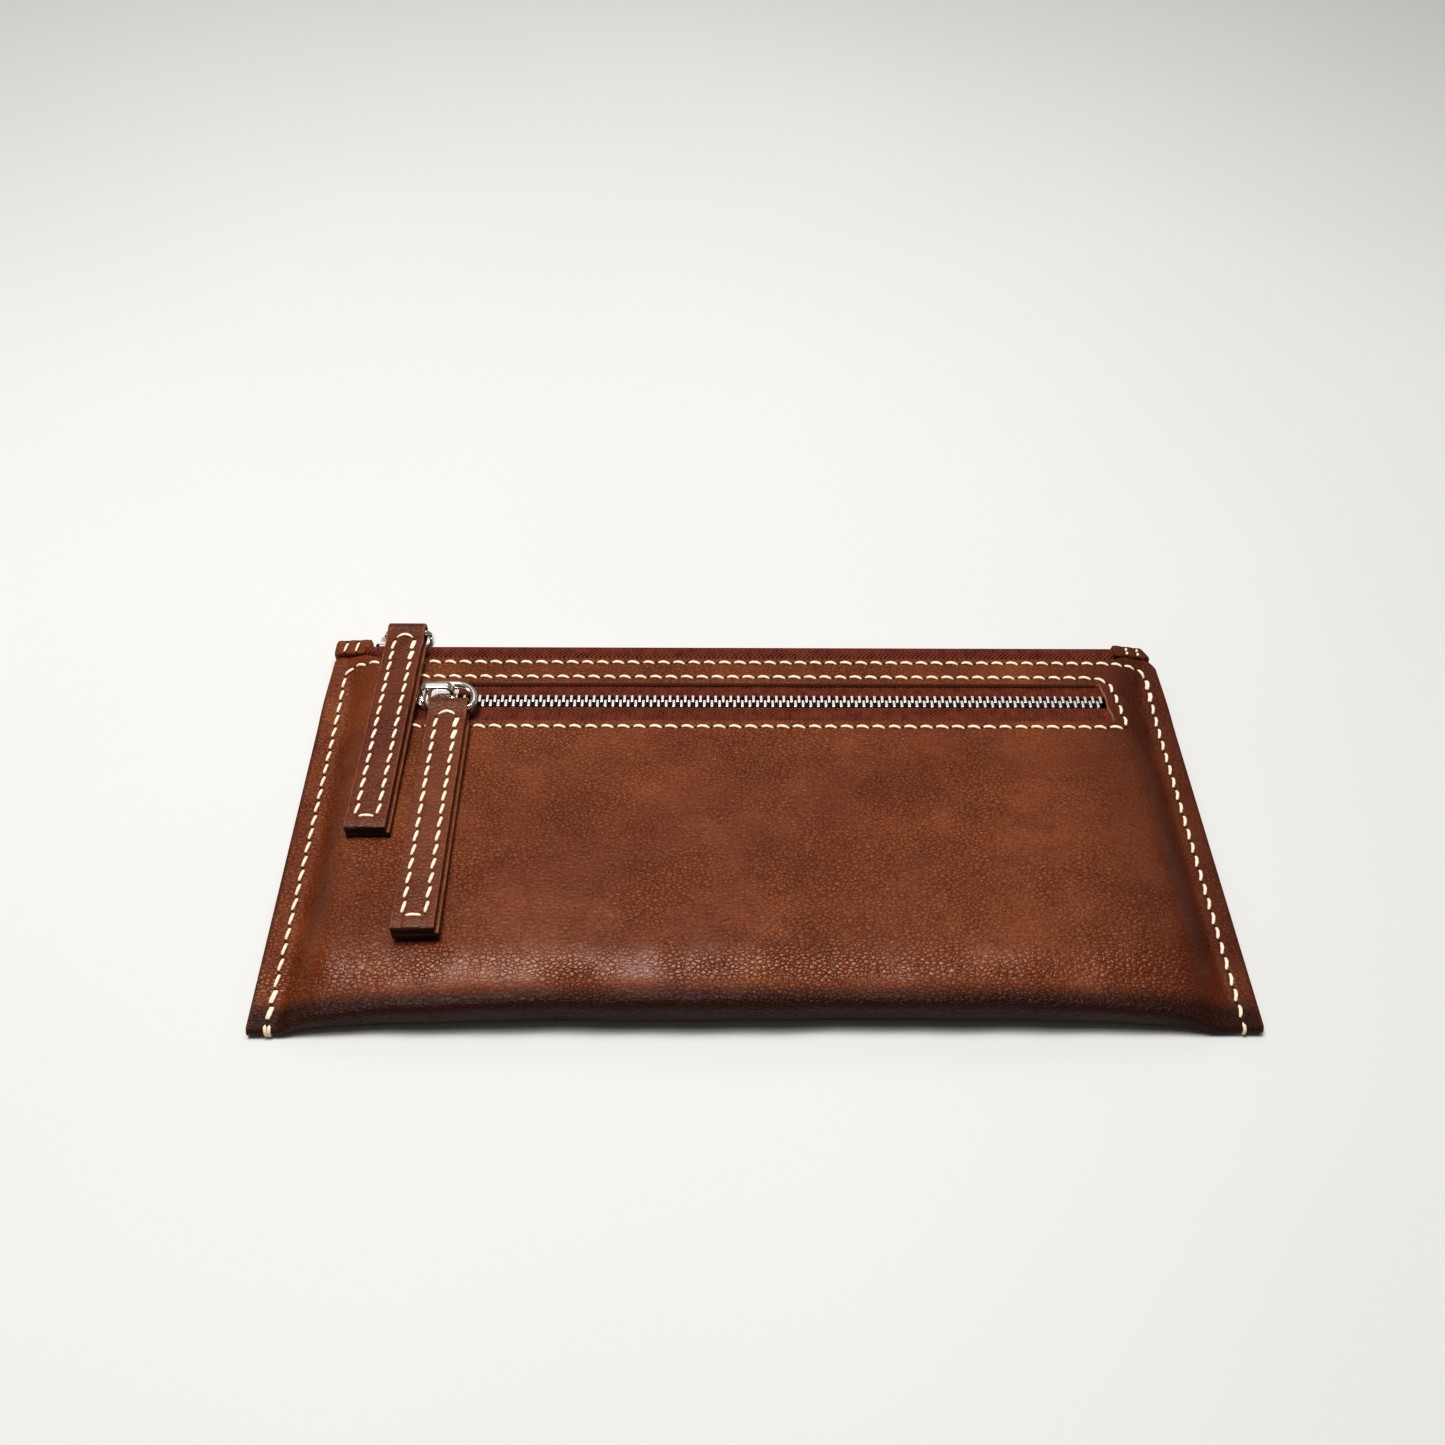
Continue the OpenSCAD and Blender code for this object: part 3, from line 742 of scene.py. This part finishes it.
# -------------------- tabs over the ends of the mouth zip
def make_tab(word, leathers, sewing, reach, z_out, columns, per_column, slant, beyond):
    """Leather cap over one end of the mouth zip.

    reach gives its inner and outer end along X, z_out the top's height at the outer end, columns the X of
    each row of stitches, slant how far the outer end turns, and beyond how far it passes its CAD node.
    """
    low, high = cad_box(f"{word}_zip_tab")
    x_in, x_out = reach
    out = -1 if x_out < 0 else 1
    y0, y1 = low[1] + 0.05, high[1] + beyond
    z_in, z_low = high[2], low[2]

    def top_z(x):
        return mix(z_in, z_out, (x - x_in) / (x_out - x_in)) - 0.12

    shape = Shape()
    rings = []
    for t in np.concatenate([[0, 0.012, 0.04], np.linspace(0.08, 0.92, 15), [0.965, 0.99, 1.0]]):
        x = mix(x_in, x_out, t)
        shrink = 0.5 * (bell(t, 0.02) + bell(1 - t, 0.03))
        top = top_z(x) - shrink + 0.10 * math.sin(1.9 * x)
        foot = z_low + shrink
        outline = rounded_bar(y1 - y0 - 2 * shrink, top - foot, 0.75, 5, 10)
        dent = sum(bell(x - c, 0.4) for c in columns)
        rise = np.where(outline[:, 1] > (top - foot) / 2 - 0.3, -0.14 * dent, 0)
        ring = np.column_stack([x - out * slant * t * t * outline[:, 0], outline[:, 0] + (y0 + y1) / 2,
                                outline[:, 1] + (top + foot) / 2 + rise])
        rings.append(ring[:: -out])
    shape.tube(rings)
    shape.build(f"{word}_zip_cap", leathers, "pouch", "leather", [f"{word}_zip_tab"])
    thread, holes = Shape(), Shape()
    for x in columns:
        ys = np.linspace(y0 + 0.3, y1 - 0.9, 20)
        points = np.column_stack([np.full(20, x), ys, np.full(20, top_z(x) - 0.02)])
        lean = unit(np.array([-(z_out - z_in) / (x_out - x_in), 0, 1.0]))
        Row(points[::-1], lean).sew(thread, holes, 3.2 / per_column, radius=0.38)
    build_sewing(f"{word}_zip_cap", thread, holes, sewing, f"{word}_tab_thread")


# -------------------- leather pulls
STRAP_L = 69.0
STRAP_W = 9.5
STRAP_T = 3.8
STRAP_COLUMN = 2.5
LAYER_T = 1.9
LOOP_R = 2.05
LOOP_T = 0.9
STRAP_NEAR = 4.0
STRAP_FAR = STRAP_L - 3.6


def strap_relief(x, y):
    """Height over a pull's flat face: dips along its stitching, and slow waves."""
    on_rows = smooth((-y - STRAP_NEAR + 1) / 2)
    dips = -0.2 * bell(np.abs(x) - STRAP_COLUMN, 0.55) * on_rows
    crown = 0.16 * np.cos(x / STRAP_W * math.pi)
    return dips + crown * on_rows + 0.06 * np.sin(y / 6.3 + x / 5.0)


def make_strap(word, arm, under, slant, leathers, sewing):
    """A strip folded round the ring's arm and sewn to itself, in the frame of its CAD pull."""
    low_z, top_z = LAYER_T / 2 - under, STRAP_T - LAYER_T / 2 - under
    loop = np.radians(np.linspace(-115, 115, 15))
    control = [(-STRAP_L, low_z)] + [(-y, low_z) for y in (50, 32, 16, 9, 6)]
    control += [(LOOP_R * math.cos(t), LOOP_R * math.sin(t)) for t in loop]
    control += [(-y, top_z) for y in (5.0, 8, 16, 32, 50)] + [(-STRAP_L, top_z)]
    line = thinned(curve_through(control, 8), 1e-4)
    outward = -left_of(line)
    c, s = math.cos(math.radians(slant)), math.sin(math.radians(slant))
    tilt_c, tilt_s = math.cos(SLOPE), math.sin(SLOPE)

    def place(p):
        x, y, z = p[:, 0], p[:, 1], p[:, 2]
        straight = smooth((-y - 1) / 5)
        xs = mix(x, c * x - s * y, straight)
        ys = mix(y, s * x + c * y, straight)
        return np.stack([xs, ys * tilt_c + z * tilt_s, -ys * tilt_s + z * tilt_c], -1) + arm

    shape, rings = Shape(), []
    for p, out in zip(line, outward):
        near = smooth((p[0] + 6.5) / 5)
        thick = mix(LAYER_T, LOOP_T, near)
        ring = rounded_bar(STRAP_W + 0.3 * near, thick, mix(0.3, 0.4, near), 4, 22)
        lower = max(0.0, -out[1]) * (1 - near)
        ring[:, 0] = ring[:, 0] * (1 + 0.08 * lower) + 0.45 * lower
        top = (ring[:, 1] > 0) * (1 - near)
        ring[:, 1] += top * strap_relief(ring[:, 0], np.full(len(ring), p[0]))
        rings.append(np.column_stack([ring[:, 0], p[0] + out[0] * ring[:, 1], p[1] + out[1] * ring[:, 1]]))
    rings = np.array(rings)
    trim = rings.copy()
    for end in (0, -1):
        centre = rings[end].mean(axis=0)
        extra = mix(centre, rings[end], np.array([0.97, 1, 0.84]))
        extra[:, 1] -= 0.22
        trim = np.vstack([extra[None], trim]) if end == 0 else np.vstack([trim, extra[None]])
    outline = rounded_bar(STRAP_W, LAYER_T, 0.3, 4, 22)
    across = (np.abs(outline[:, 0]) + np.abs(np.roll(outline[:, 0], -1))) / 2
    paint = [int(a > STRAP_W / 2 - 0.3) for a in across] * (len(trim) - 1) + [2, 2]
    paint[: len(across)] = [2] * len(across)
    paint[-2 - len(across): -2] = [2] * len(across)
    shape.tube(trim[:, ::-1], paint=paint)
    name, body = f"{word}_pull_leather", f"{word}_pull"
    shape.build(name, leathers, body, "pull_leather", [f"{word}_pull_strap"], place)
    thread, holes = Shape(), Shape()
    for face, z in ((1, STRAP_T - under), (-1, -under)):
        up = np.array([0, 0, float(face)])

        def surface(x, y):
            return np.column_stack([x, y, z + face * (strap_relief(x, y) - 0.02)])

        ys = np.linspace(-STRAP_NEAR - 0.7, -STRAP_FAR, 150)
        for side in (-1, 1):
            row = Row(surface(np.full(150, side * STRAP_COLUMN), ys), up)
            row.sew(thread, holes, double=(0, 1) if side * face > 0 else ())
        x = np.array([-STRAP_COLUMN, STRAP_COLUMN])
        ends = surface(x * 0.92, np.array([-STRAP_NEAR + 0.05] * 2))
        strand(thread, ends[1], ends[0], up, 0.48, bow=-0.85 * face)
        ends = surface(x * 0.8, np.array([-STRAP_FAR - 0.35] * 2))
        strand(thread, ends[0], ends[1], up, 0.42)
    build_sewing(name, thread, holes, sewing, f"{word}_pull_thread", body, place)


# -------------------- sliders, crowns and rings
RING_W = 11.8
RING_H = 8.4
RING_BENDS = (5.2, 2.6, 2.2, 2.2)
RING_WIRE = 1.7
ARM_OFF = -2.1
RING_DROP = 6.0
PIVOT_N = 4.4
PLATE_TOP = 2.2


def ring_rings():
    """Sections of the bent wire, in the ring's own frame with its origin where it hangs."""
    cx, cy = RING_W / 2, RING_H / 2 - RING_DROP
    rings = []
    for q, (sx, sy) in enumerate(((1, 1), (-1, 1), (-1, -1), (1, -1))):
        r = RING_BENDS[q]
        for a in np.radians(np.linspace(90 * q, 90 * q + 90, 15)):
            corner = np.array([cx + sx * (RING_W / 2 - r), cy + sy * (RING_H / 2 - r), 0])
            out = np.array([math.cos(a), math.sin(a), 0])
            rings.append(circle_ring(corner + r * out, out, np.array([0, 0, 1.0]),
                                     RING_WIRE / 2, RING_WIRE / 2, 20))
    return rings


def make_ring(word, metal, place):
    shape = Shape()
    shape.tube(ring_rings(), closed=True)
    shape.build(f"{word}_ring_wire", [metal], f"{word}_ring", "nickel", [f"{word}_pull_ring"], place)


def make_crown(word, metal, place):
    """Flat bar bent over the slider as a bridge, for the ring to hang in."""
    length, height, thick = 8.6, 4.5, 0.85
    half, r = length / 2 - thick / 2, 1.7
    path = [(-half, 0), (-half, height - thick / 2 - r)]
    for cx, a0, a1 in ((-half + r, 180, 90), (half - r, 90, 0)):
        for a in np.radians(np.linspace(a0, a1, 9)):
            path.append((cx + r * math.cos(a), height - thick / 2 - r + r * math.sin(a)))
    path += [(half, height - thick / 2 - r - 0.01), (half, 0)]
    path = thinned(np.array(path), 0.03)
    rings = []
    for p, o, share in zip(path, left_of(path), np.linspace(-1, 1, len(path))):
        bar = rounded_bar(2.5 + 0.35 * share * share, thick, 0.3, 4, 6)
        bar[:, 1] += np.where(bar[:, 1] > 0, 0.1 * np.cos(bar[:, 0] / 2.6 * math.pi), 0)
        rings.append(np.column_stack([p[0] + o[0] * bar[:, 1], bar[:, 0],
                                      PLATE_TOP + p[1] + o[1] * bar[:, 1]]))
    shape = Shape()
    shape.tube(rings)
    shape.build(f"{word}_crown_bridge", [metal], f"{word}_slider", "nickel", [f"{word}_slider_crown"], place)


def finish_cad_metal(nodes, metal):
    """Keeps CAD pieces whose shape is right, with softened edges and a metal finish."""
    for node in nodes:
        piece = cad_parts[node]
        piece.data.materials.clear()
        piece.data.materials.append(metal)
        soften(piece, 0.14, 3, 40)


# -------------------- materials
class Paint:
    """A material's node tree, written as nested calls. Lengths in its textures are millimetres."""

    def __init__(self, name):
        self.material = bpy.data.materials.new(name)
        self.material.use_nodes = True
        self.tree = self.material.node_tree
        self.shader = self.tree.nodes["Principled BSDF"]
        coords = self.tree.nodes.new("ShaderNodeTexCoord")
        self.place = self.node("ShaderNodeMapping", {"Vector": coords.outputs["Object"],
                                                     "Scale": (1 / MM,) * 3})

    def node(self, kind, inputs=(), out=0, **settings):
        made = self.tree.nodes.new(kind)
        for key, value in settings.items():
            setattr(made, key, value)
        for key, value in dict(inputs).items():
            self.feed(made.inputs[key], value)
        return made.outputs[out]

    def feed(self, socket, value):
        if isinstance(value, bpy.types.NodeSocket):
            self.tree.links.new(value, socket)
        else:
            socket.default_value = value

    def set(self, **inputs):
        for key, value in inputs.items():
            self.feed(self.shader.inputs[key.replace("_", " ")], value)

    def math(self, operation, a, b=0.0):
        return self.node("ShaderNodeMath", {0: a, 1: b}, operation=operation)

    def times(self, a, b):
        return self.math("MULTIPLY", a, b)

    def minus(self, a, b):
        return self.math("SUBTRACT", a, b)

    def noise(self, scale, detail=2.0, rough=0.5, stretch=(1, 1, 1), distortion=0.0):
        at = self.node("ShaderNodeMapping", {"Vector": self.place, "Scale": stretch})
        return self.node("ShaderNodeTexNoise", {"Vector": at, "Scale": scale, "Detail": detail,
                                                "Roughness": rough, "Distortion": distortion})

    def cells(self, scale, smoothness=0.5, warp=0.35, feature="SMOOTH_F1", stretch=(1, 1, 1)):
        wobble = self.node("ShaderNodeTexNoise", {"Vector": self.place, "Scale": scale * 0.8}, out=1)
        shift = self.node("ShaderNodeVectorMath", {0: wobble, 1: (warp / scale,) * 3}, operation="MULTIPLY")
        at = self.node("ShaderNodeVectorMath", {0: self.place, 1: shift}, operation="ADD")
        at = self.node("ShaderNodeMapping", {"Vector": at, "Scale": stretch})
        inputs = {"Vector": at, "Scale": scale}
        if feature == "SMOOTH_F1":
            inputs["Smoothness"] = smoothness
        return self.node("ShaderNodeTexVoronoi", inputs, feature=feature)

    def ramp(self, value, low, high, to_low=0.0, to_high=1.0):
        return self.node("ShaderNodeMapRange", {"Value": value, "From Min": low, "From Max": high,
                                                "To Min": to_low, "To Max": to_high})

    def blend(self, share, a, b):
        return self.node("ShaderNodeMix", {"Factor": share, 6: a, 7: b}, out=2, data_type="RGBA")

    def bump(self, height, depth, under=None):
        """Relief of the given depth in millimetres; heights run from 0 to 1."""
        inputs = {"Height": height, "Distance": depth * MM, "Strength": 1.0}
        if under is not None:
            inputs["Normal"] = under
        return self.node("ShaderNodeBump", inputs)

    def axis(self, which):
        return self.node("ShaderNodeSeparateXYZ", {"Vector": self.place}, out="XYZ".index(which))

    def near(self, which, centre, inner, outer, share=1.0):
        """The share within the inner distance of a place along an axis, and 0 past the outer one."""
        off = self.math("ABSOLUTE", self.minus(self.axis(which), centre))
        return self.ramp(off, inner, outer, share, 0)


def rgb(r, g, b):
    return (r, g, b, 1.0)


def leather_paint(name, base, light, dark, grain=1.0, painted_shade_and_rim=True):
    """Brown leather: cloudy dye, pebbled grain that comes and goes, fine pores and a soft shine. On the
    pouch body it also has painted shade, darker towards the right side and near black over the fold's face,
    and a dark burnished rim along the side edges.
    """
    p = Paint(name)
    clouds = p.noise(0.03, 3, 0.55, (1, 1.3, 1), 0.6)
    patches = p.noise(0.16, 4, 0.65, (1, 1.4, 1))
    fine = p.noise(1.3, 4, 0.7, (1, 1.3, 1))
    color = p.blend(p.ramp(clouds, 0.38, 0.62), base, light)
    color = p.blend(p.ramp(patches, 0.5, 0.78, 0, 0.42), color, dark)
    color = p.blend(p.ramp(fine, 0.44, 0.70, 0, 0.62 * grain), color, dark)
    pebble = p.cells(0.85, 0.35, 0.5, stretch=(1, 1.35, 1))
    crack = p.cells(0.85, 0, 0.5, "DISTANCE_TO_EDGE", (1, 1.35, 1))
    valley = p.ramp(crack, 0.0, 0.16, 1, 0)
    show = p.ramp(p.noise(0.06, 2, 0.5), 0.36, 0.6, 0.35, 1)
    color = p.blend(p.times(p.times(valley, show), 0.8 * grain), color, dark)
    if painted_shade_and_rim:
        # Painted shade: the right side, which slopes away from the lamps, is blended towards the dark
        # colour.
        color = p.blend(p.ramp(p.axis("X"), 72, 98, 0, 0.68), color, dark)
        # Painted shade: the fold's face, turned away from the lamps, is blended to near black.
        fold = p.ramp(p.axis("Y"), FOLD_Y - 0.5, FOLD_Y - 4.0, 0, 0.94)
        color = p.blend(fold, color, rgb(0.032, 0.005, 0.0012))
        rim = p.ramp(p.math("ABSOLUTE", p.axis("X")), HALF_W - 1.0, HALF_W - 0.3, 0, 0.9)
        color = p.blend(rim, color, dark)
    round_grain = p.minus(1.0, p.math("POWER", pebble, 1.6))
    height = p.times(p.minus(round_grain, p.times(valley, 0.4)), show)
    folds = p.noise(0.6, 4, 0.7, (1, 2.2, 1), 0.5)
    rough = p.ramp(p.noise(0.35, 3, 0.6), 0.3, 0.7, 0.36, 0.48)
    if painted_shade_and_rim:
        above_fold = p.near("Y", FOLD_Y + 3.2, 1.5, 6.5)
        folds = p.times(folds, p.minus(1.0, p.times(above_fold, 0.75)))
        rough = p.minus(rough, p.times(above_fold, 0.14))
        rough = p.math("ADD", rough, p.ramp(p.axis("X"), 84, 96, 0, 0.14))
    pores = p.bump(p.noise(4.0, 3, 0.65), 0.03 * grain)
    wrinkle = p.bump(folds, 0.34 * grain, pores)
    normal = p.bump(height, 0.19 * grain, wrinkle)
    p.set(Base_Color=color, Roughness=rough, Normal=normal, Specular_IOR_Level=0.36)
    return p.material


def edge_paint(name, base, light, raw=None):
    """Burnished cut edge of leather, with faint layers, and raw at the window's right end; at the window's
    top a share of the raw colour is both raw edge and painted light that lifts the shade on that face.
    """
    p = Paint(name)
    color = p.blend(p.ramp(p.noise(0.9, 3, 0.6, (0.3, 0.3, 3)), 0.35, 0.7), base, light)
    if raw is not None:
        color = p.blend(p.near("X", WINDOW_X1, 1.2, 2.2), color, raw)
        # Painted light: the window's top cut edge lies in shade, and a share of the raw colour lifts that
        # shade; the edge is partly raw leather too.
        in_window = p.near("X", 0, WINDOW_X1 + 1, WINDOW_X1 + 3, 0.45)
        at_top = p.near("Y", MOUTH_Y - WINDOW_TOP, 1.0, 1.8)
        color = p.blend(p.times(at_top, in_window), color, raw)
    normal = p.bump(p.noise(1.2, 3, 0.6, (0.25, 0.25, 3)), 0.06)
    p.set(Base_Color=color, Roughness=0.45, Normal=normal)
    return p.material


def raw_paint(name, base, light):
    """Fibrous flesh side of leather."""
    p = Paint(name)
    color = p.blend(p.ramp(p.noise(1.5, 5, 0.7), 0.35, 0.7), base, light)
    p.set(Base_Color=color, Roughness=0.85, Normal=p.bump(p.noise(3.0, 5, 0.75), 0.12),
          Specular_IOR_Level=0.2)
    return p.material


def tape_paint(name, base, light, dark):
    """Herringbone twill: slanted yarns that turn back in every band along the tape, with painted shade in
    the near-black gaps between yarns.
    """
    p = Paint(name)
    x, y, z = p.axis("X"), p.axis("Y"), p.axis("Z")
    across = p.minus(y, p.times(z, 0.2))
    band = p.math("PINGPONG", across, 1.6)
    slant = p.math("ADD", x, p.times(band, 1.9))
    yarn = p.ramp(p.math("PINGPONG", slant, 0.6), 0.15, 0.48)
    pick = p.ramp(p.math("PINGPONG", p.minus(x, across), 0.2), 0.0, 0.2)
    weave = p.math("ADD", p.times(yarn, 0.8), p.times(pick, 0.2))
    cloud = p.ramp(p.noise(0.5, 3, 0.6), 0.3, 0.7)
    # The weave runs from the near-black colour, painted shade in the gaps between yarns, to the tape's own
    # colour.
    color = p.blend(p.ramp(weave, 0.15, 0.85), dark, base)
    color = p.blend(p.times(cloud, 0.5), color, light)
    normal = p.bump(weave, 0.2, p.bump(p.noise(6, 2, 0.6), 0.04))
    p.set(Base_Color=color, Roughness=0.75, Normal=normal, Specular_IOR_Level=0.25)
    return p.material


def cloth_paint(name, base, dark):
    p = Paint(name)
    weave = p.times(p.ramp(p.math("PINGPONG", p.axis("X"), 0.2), 0, 0.2),
                   p.ramp(p.math("PINGPONG", p.axis("Y"), 0.2), 0, 0.2))
    p.set(Base_Color=p.blend(weave, dark, base), Roughness=0.85, Normal=p.bump(weave, 0.08))
    return p.material


def metal_paint(name, base, rough_low, rough_high):
    """Polished nickel plating with faint clouds and hairline scratches."""
    p = Paint(name)
    cloud = p.noise(0.8, 3, 0.6)
    scratch = p.noise(5.0, 2, 0.5, (0.15, 2.5, 1))
    rough = p.ramp(p.math("ADD", p.times(cloud, 0.6), p.times(scratch, 0.4)),
                   0.35, 0.65, rough_low, rough_high)
    p.set(Base_Color=base, Metallic=1.0, Roughness=rough, Normal=p.bump(scratch, 0.006))
    return p.material


def thread_paint(name, base, light, dark):
    """Waxed linen thread: fine fibres and a little soil."""
    p = Paint(name)
    color = p.blend(p.ramp(p.noise(0.7, 3, 0.6), 0.35, 0.7), base, light)
    color = p.blend(p.ramp(p.noise(3.5, 3, 0.7), 0.55, 0.85, 0, 0.6), color, dark)
    p.set(Base_Color=color, Roughness=0.5, Normal=p.bump(p.noise(5, 3, 0.6), 0.05),
          Subsurface_Weight=0.15, Subsurface_Radius=(0.0006, 0.0003, 0.0002), Subsurface_Scale=1.0)
    return p.material


def plain_paint(name, base, rough):
    p = Paint(name)
    color = p.blend(p.ramp(p.noise(1.4, 2, 0.5), 0.3, 0.7, 0, 0.4), base, rgb(0, 0, 0))
    p.set(Base_Color=color, Roughness=rough)
    return p.material


# -------------------- the pouch
skin = leather_paint("pouch_leather", rgb(0.182, 0.047, 0.0115), rgb(0.240, 0.072, 0.019),
                     rgb(0.078, 0.0155, 0.004))
dark_pull = leather_paint("dark_pull_leather", rgb(0.118, 0.028, 0.010), rgb(0.150, 0.040, 0.015),
                          rgb(0.060, 0.011, 0.004), grain=0.5, painted_shade_and_rim=False)
light_pull = leather_paint("light_pull_leather", rgb(0.138, 0.036, 0.0115), rgb(0.175, 0.051, 0.016),
                           rgb(0.070, 0.014, 0.005), grain=0.5, painted_shade_and_rim=False)
edge = edge_paint("leather_edge", rgb(0.060, 0.017, 0.008), rgb(0.125, 0.042, 0.018), rgb(0.66, 0.36, 0.24))
pull_side = edge_paint("pull_side", rgb(0.150, 0.045, 0.018), rgb(0.300, 0.115, 0.055))
# Cut ends of the pulls: dark edge dye made near black, partly painted shade of the ends, which face away
# from the lamps.
pull_end = edge_paint("pull_end", rgb(0.022, 0.006, 0.003), rgb(0.065, 0.017, 0.008))
flesh = raw_paint("leather_flesh", rgb(0.24, 0.12, 0.06), rgb(0.34, 0.19, 0.11))
# Tape colours; the last, near black, is painted shade between the yarns.
tape = tape_paint("zip_tape_twill", rgb(0.215, 0.054, 0.029), rgb(0.290, 0.086, 0.050),
                  rgb(0.020, 0.003, 0.0015))
lining = cloth_paint("lining_weave", rgb(0.07, 0.035, 0.025), rgb(0.02, 0.010, 0.008))
nickel = metal_paint("polished_nickel", rgb(0.90, 0.86, 0.81), 0.13, 0.22)
tooth_metal = metal_paint("tooth_nickel", rgb(0.95, 0.92, 0.88), 0.28, 0.36)
cord = thread_paint("waxed_thread", rgb(0.86, 0.68, 0.52), rgb(0.93, 0.80, 0.66), rgb(0.55, 0.33, 0.21))
# Near-black discs at the needle holes: painted shade of the holes.
hole = plain_paint("needle_hole_shade", rgb(0.020, 0.006, 0.003), 0.8)

sewing = (cord, hole)
make_leather_body(skin, edge, flesh)
make_pocket_bag(lining)
make_pouch_stitching(sewing)
make_zips(tape, tooth_metal, tape)
make_tab("left", (skin, edge), sewing, reach=(-99.8, -109.4), z_out=6.0, columns=(-103.5, -106.5),
         per_column=1, slant=0.0, beyond=1.4)
make_tab("right", (skin, edge), sewing, reach=(98.2, 107.6), z_out=5.2, columns=(101.8, 104.8),
         per_column=2, slant=0.5, beyond=0.2)

TOP_SLIDER_X = -93.7
FRONT_SLIDER_X = -79.3
RING_LEAN = math.radians(16)
STRAP_LIFT = 0.55
FRONT_PULL_SLANT = 0.4
arm_y = CHAIN_Y + PIVOT_N - RING_DROP * math.sin(RING_LEAN)
arm_z = CHAIN_Z + RING_DROP * math.cos(RING_LEAN)
top_under = (arm_z - MOUTH_T) * math.cos(SLOPE) + (arm_y - MOUTH_Y) * math.sin(SLOPE) - STRAP_LIFT
front_under = PIVOT_N - TAPE_SINK - STRAP_LIFT
top_arm = np.array([TOP_SLIDER_X + ARM_OFF + RING_W / 2, arm_y, arm_z])
front_arm = on_front_chain([FRONT_SLIDER_X + ARM_OFF + RING_W / 2, -RING_DROP, PIVOT_N])


def on_top_ring(p):
    x, y, z = np.moveaxis(p, -1, 0)
    c, s = math.cos(RING_LEAN), math.sin(RING_LEAN)
    return on_top_chain(np.stack([x + TOP_SLIDER_X + ARM_OFF, y * c - z * s, y * s + z * c + PIVOT_N], -1))


def on_front_ring(p):
    return on_front_chain(p + [FRONT_SLIDER_X + ARM_OFF, 0, PIVOT_N])


make_strap("top", top_arm, top_under, 0, (dark_pull, pull_side, pull_end), sewing)
make_strap("front", front_arm, front_under, FRONT_PULL_SLANT, (light_pull, pull_side, pull_end), sewing)
make_ring("top", nickel, on_top_ring)
make_ring("front", nickel, on_front_ring)
make_crown("top", nickel, lambda p: on_top_chain(p + [TOP_SLIDER_X, 0, 0]))
make_crown("front", nickel, lambda p: on_front_chain(p + [FRONT_SLIDER_X, 0, 0]))
finish_cad_metal(["top_slider_body", "front_slider_body"], nickel)
finish_cad_metal(["top_zip_top_stops", "top_zip_bottom_stop", "front_zip_top_stops",
                  "front_zip_bottom_stop"], tooth_metal)


# -------------------- floor, light and camera
FLOOR_HALF = 3.0
WARM_WHITE = (1.0, 0.985, 0.96)
WORLD_STRENGTH = 0.15
CAMERA_AT = (-0.01413, -0.20942, 0.27341)
CAMERA_TURN = -1.745
CAMERA_DOWN = 48.02
CAMERA_ROLL = 1.425
CAMERA_SENSOR = 36.0
CAMERA_LENS = 35.2


def make_floor():
    mesh = bpy.data.meshes.new("floor")
    h = FLOOR_HALF
    mesh.from_pydata([(-h, -h, 0), (h, -h, 0), (h, h, 0), (-h, h, 0)], [], [(0, 1, 2, 3)])
    p = Paint("pale_paper")
    cloud = p.ramp(p.noise(0.004, 2, 0.5), 0.3, 0.7)
    color = p.blend(cloud, rgb(0.615, 0.62, 0.615), rgb(0.635, 0.64, 0.635))
    p.set(Base_Color=color, Roughness=0.75, Specular_IOR_Level=0.2)
    mesh.materials.append(p.material)
    floor = add_object("floor", mesh)


def area_light(name, at, aim, size, power, color):
    light = bpy.data.lights.new(name, "AREA")
    light.shape = "RECTANGLE"
    light.size, light.size_y = size
    light.energy = power
    light.color = color
    lamp = add_object(name, light)
    lamp.location = at
    ahead = np.array(aim) - np.array(at)
    lamp.rotation_mode = "QUATERNION"
    lamp.rotation_quaternion = Vector(ahead).to_track_quat("-Z", "Y")


def make_light():
    area_light("key_overhead", (-0.16, 0.08, 0.94), (0.0, 0.0, 0.0), (0.46, 0.34), 5.5, WARM_WHITE)
    area_light("strip_overhead", (-0.03, 0.1, 0.9), (0.0, -0.02, 0.0), (0.7, 0.05), 2.7, WARM_WHITE)
    area_light("panel_behind", (-0.05, 0.69, 0.68), (0.0, 0.03, 0.0), (0.9, 0.3), 0.5, (1.0, 1.0, 1.0))
    world = bpy.data.worlds.new("soft_room")
    world.use_nodes = True
    sky = world.node_tree.nodes["Background"]
    sky.inputs["Color"].default_value = rgb(1.0, 0.99, 0.97)
    sky.inputs["Strength"].default_value = WORLD_STRENGTH
    bpy.context.scene.world = world


def make_camera():
    lens = bpy.data.cameras.new("camera")
    lens.sensor_width = CAMERA_SENSOR
    lens.lens = CAMERA_LENS
    lens.clip_start, lens.clip_end = 0.01, 20.0
    camera = add_object("camera", lens)
    turn = Matrix.Rotation(math.radians(CAMERA_TURN), 4, "Z")
    tilt = Matrix.Rotation(math.radians(90 - CAMERA_DOWN), 4, "X")
    roll = Matrix.Rotation(math.radians(CAMERA_ROLL), 4, "Z")
    camera.matrix_world = Matrix.Translation(CAMERA_AT) @ turn @ tilt @ roll
    bpy.context.scene.camera = camera


make_floor()
make_light()
make_camera()
bpy.context.scene.view_settings.view_transform = "Standard"
bpy.context.scene.view_settings.look = "High Contrast"
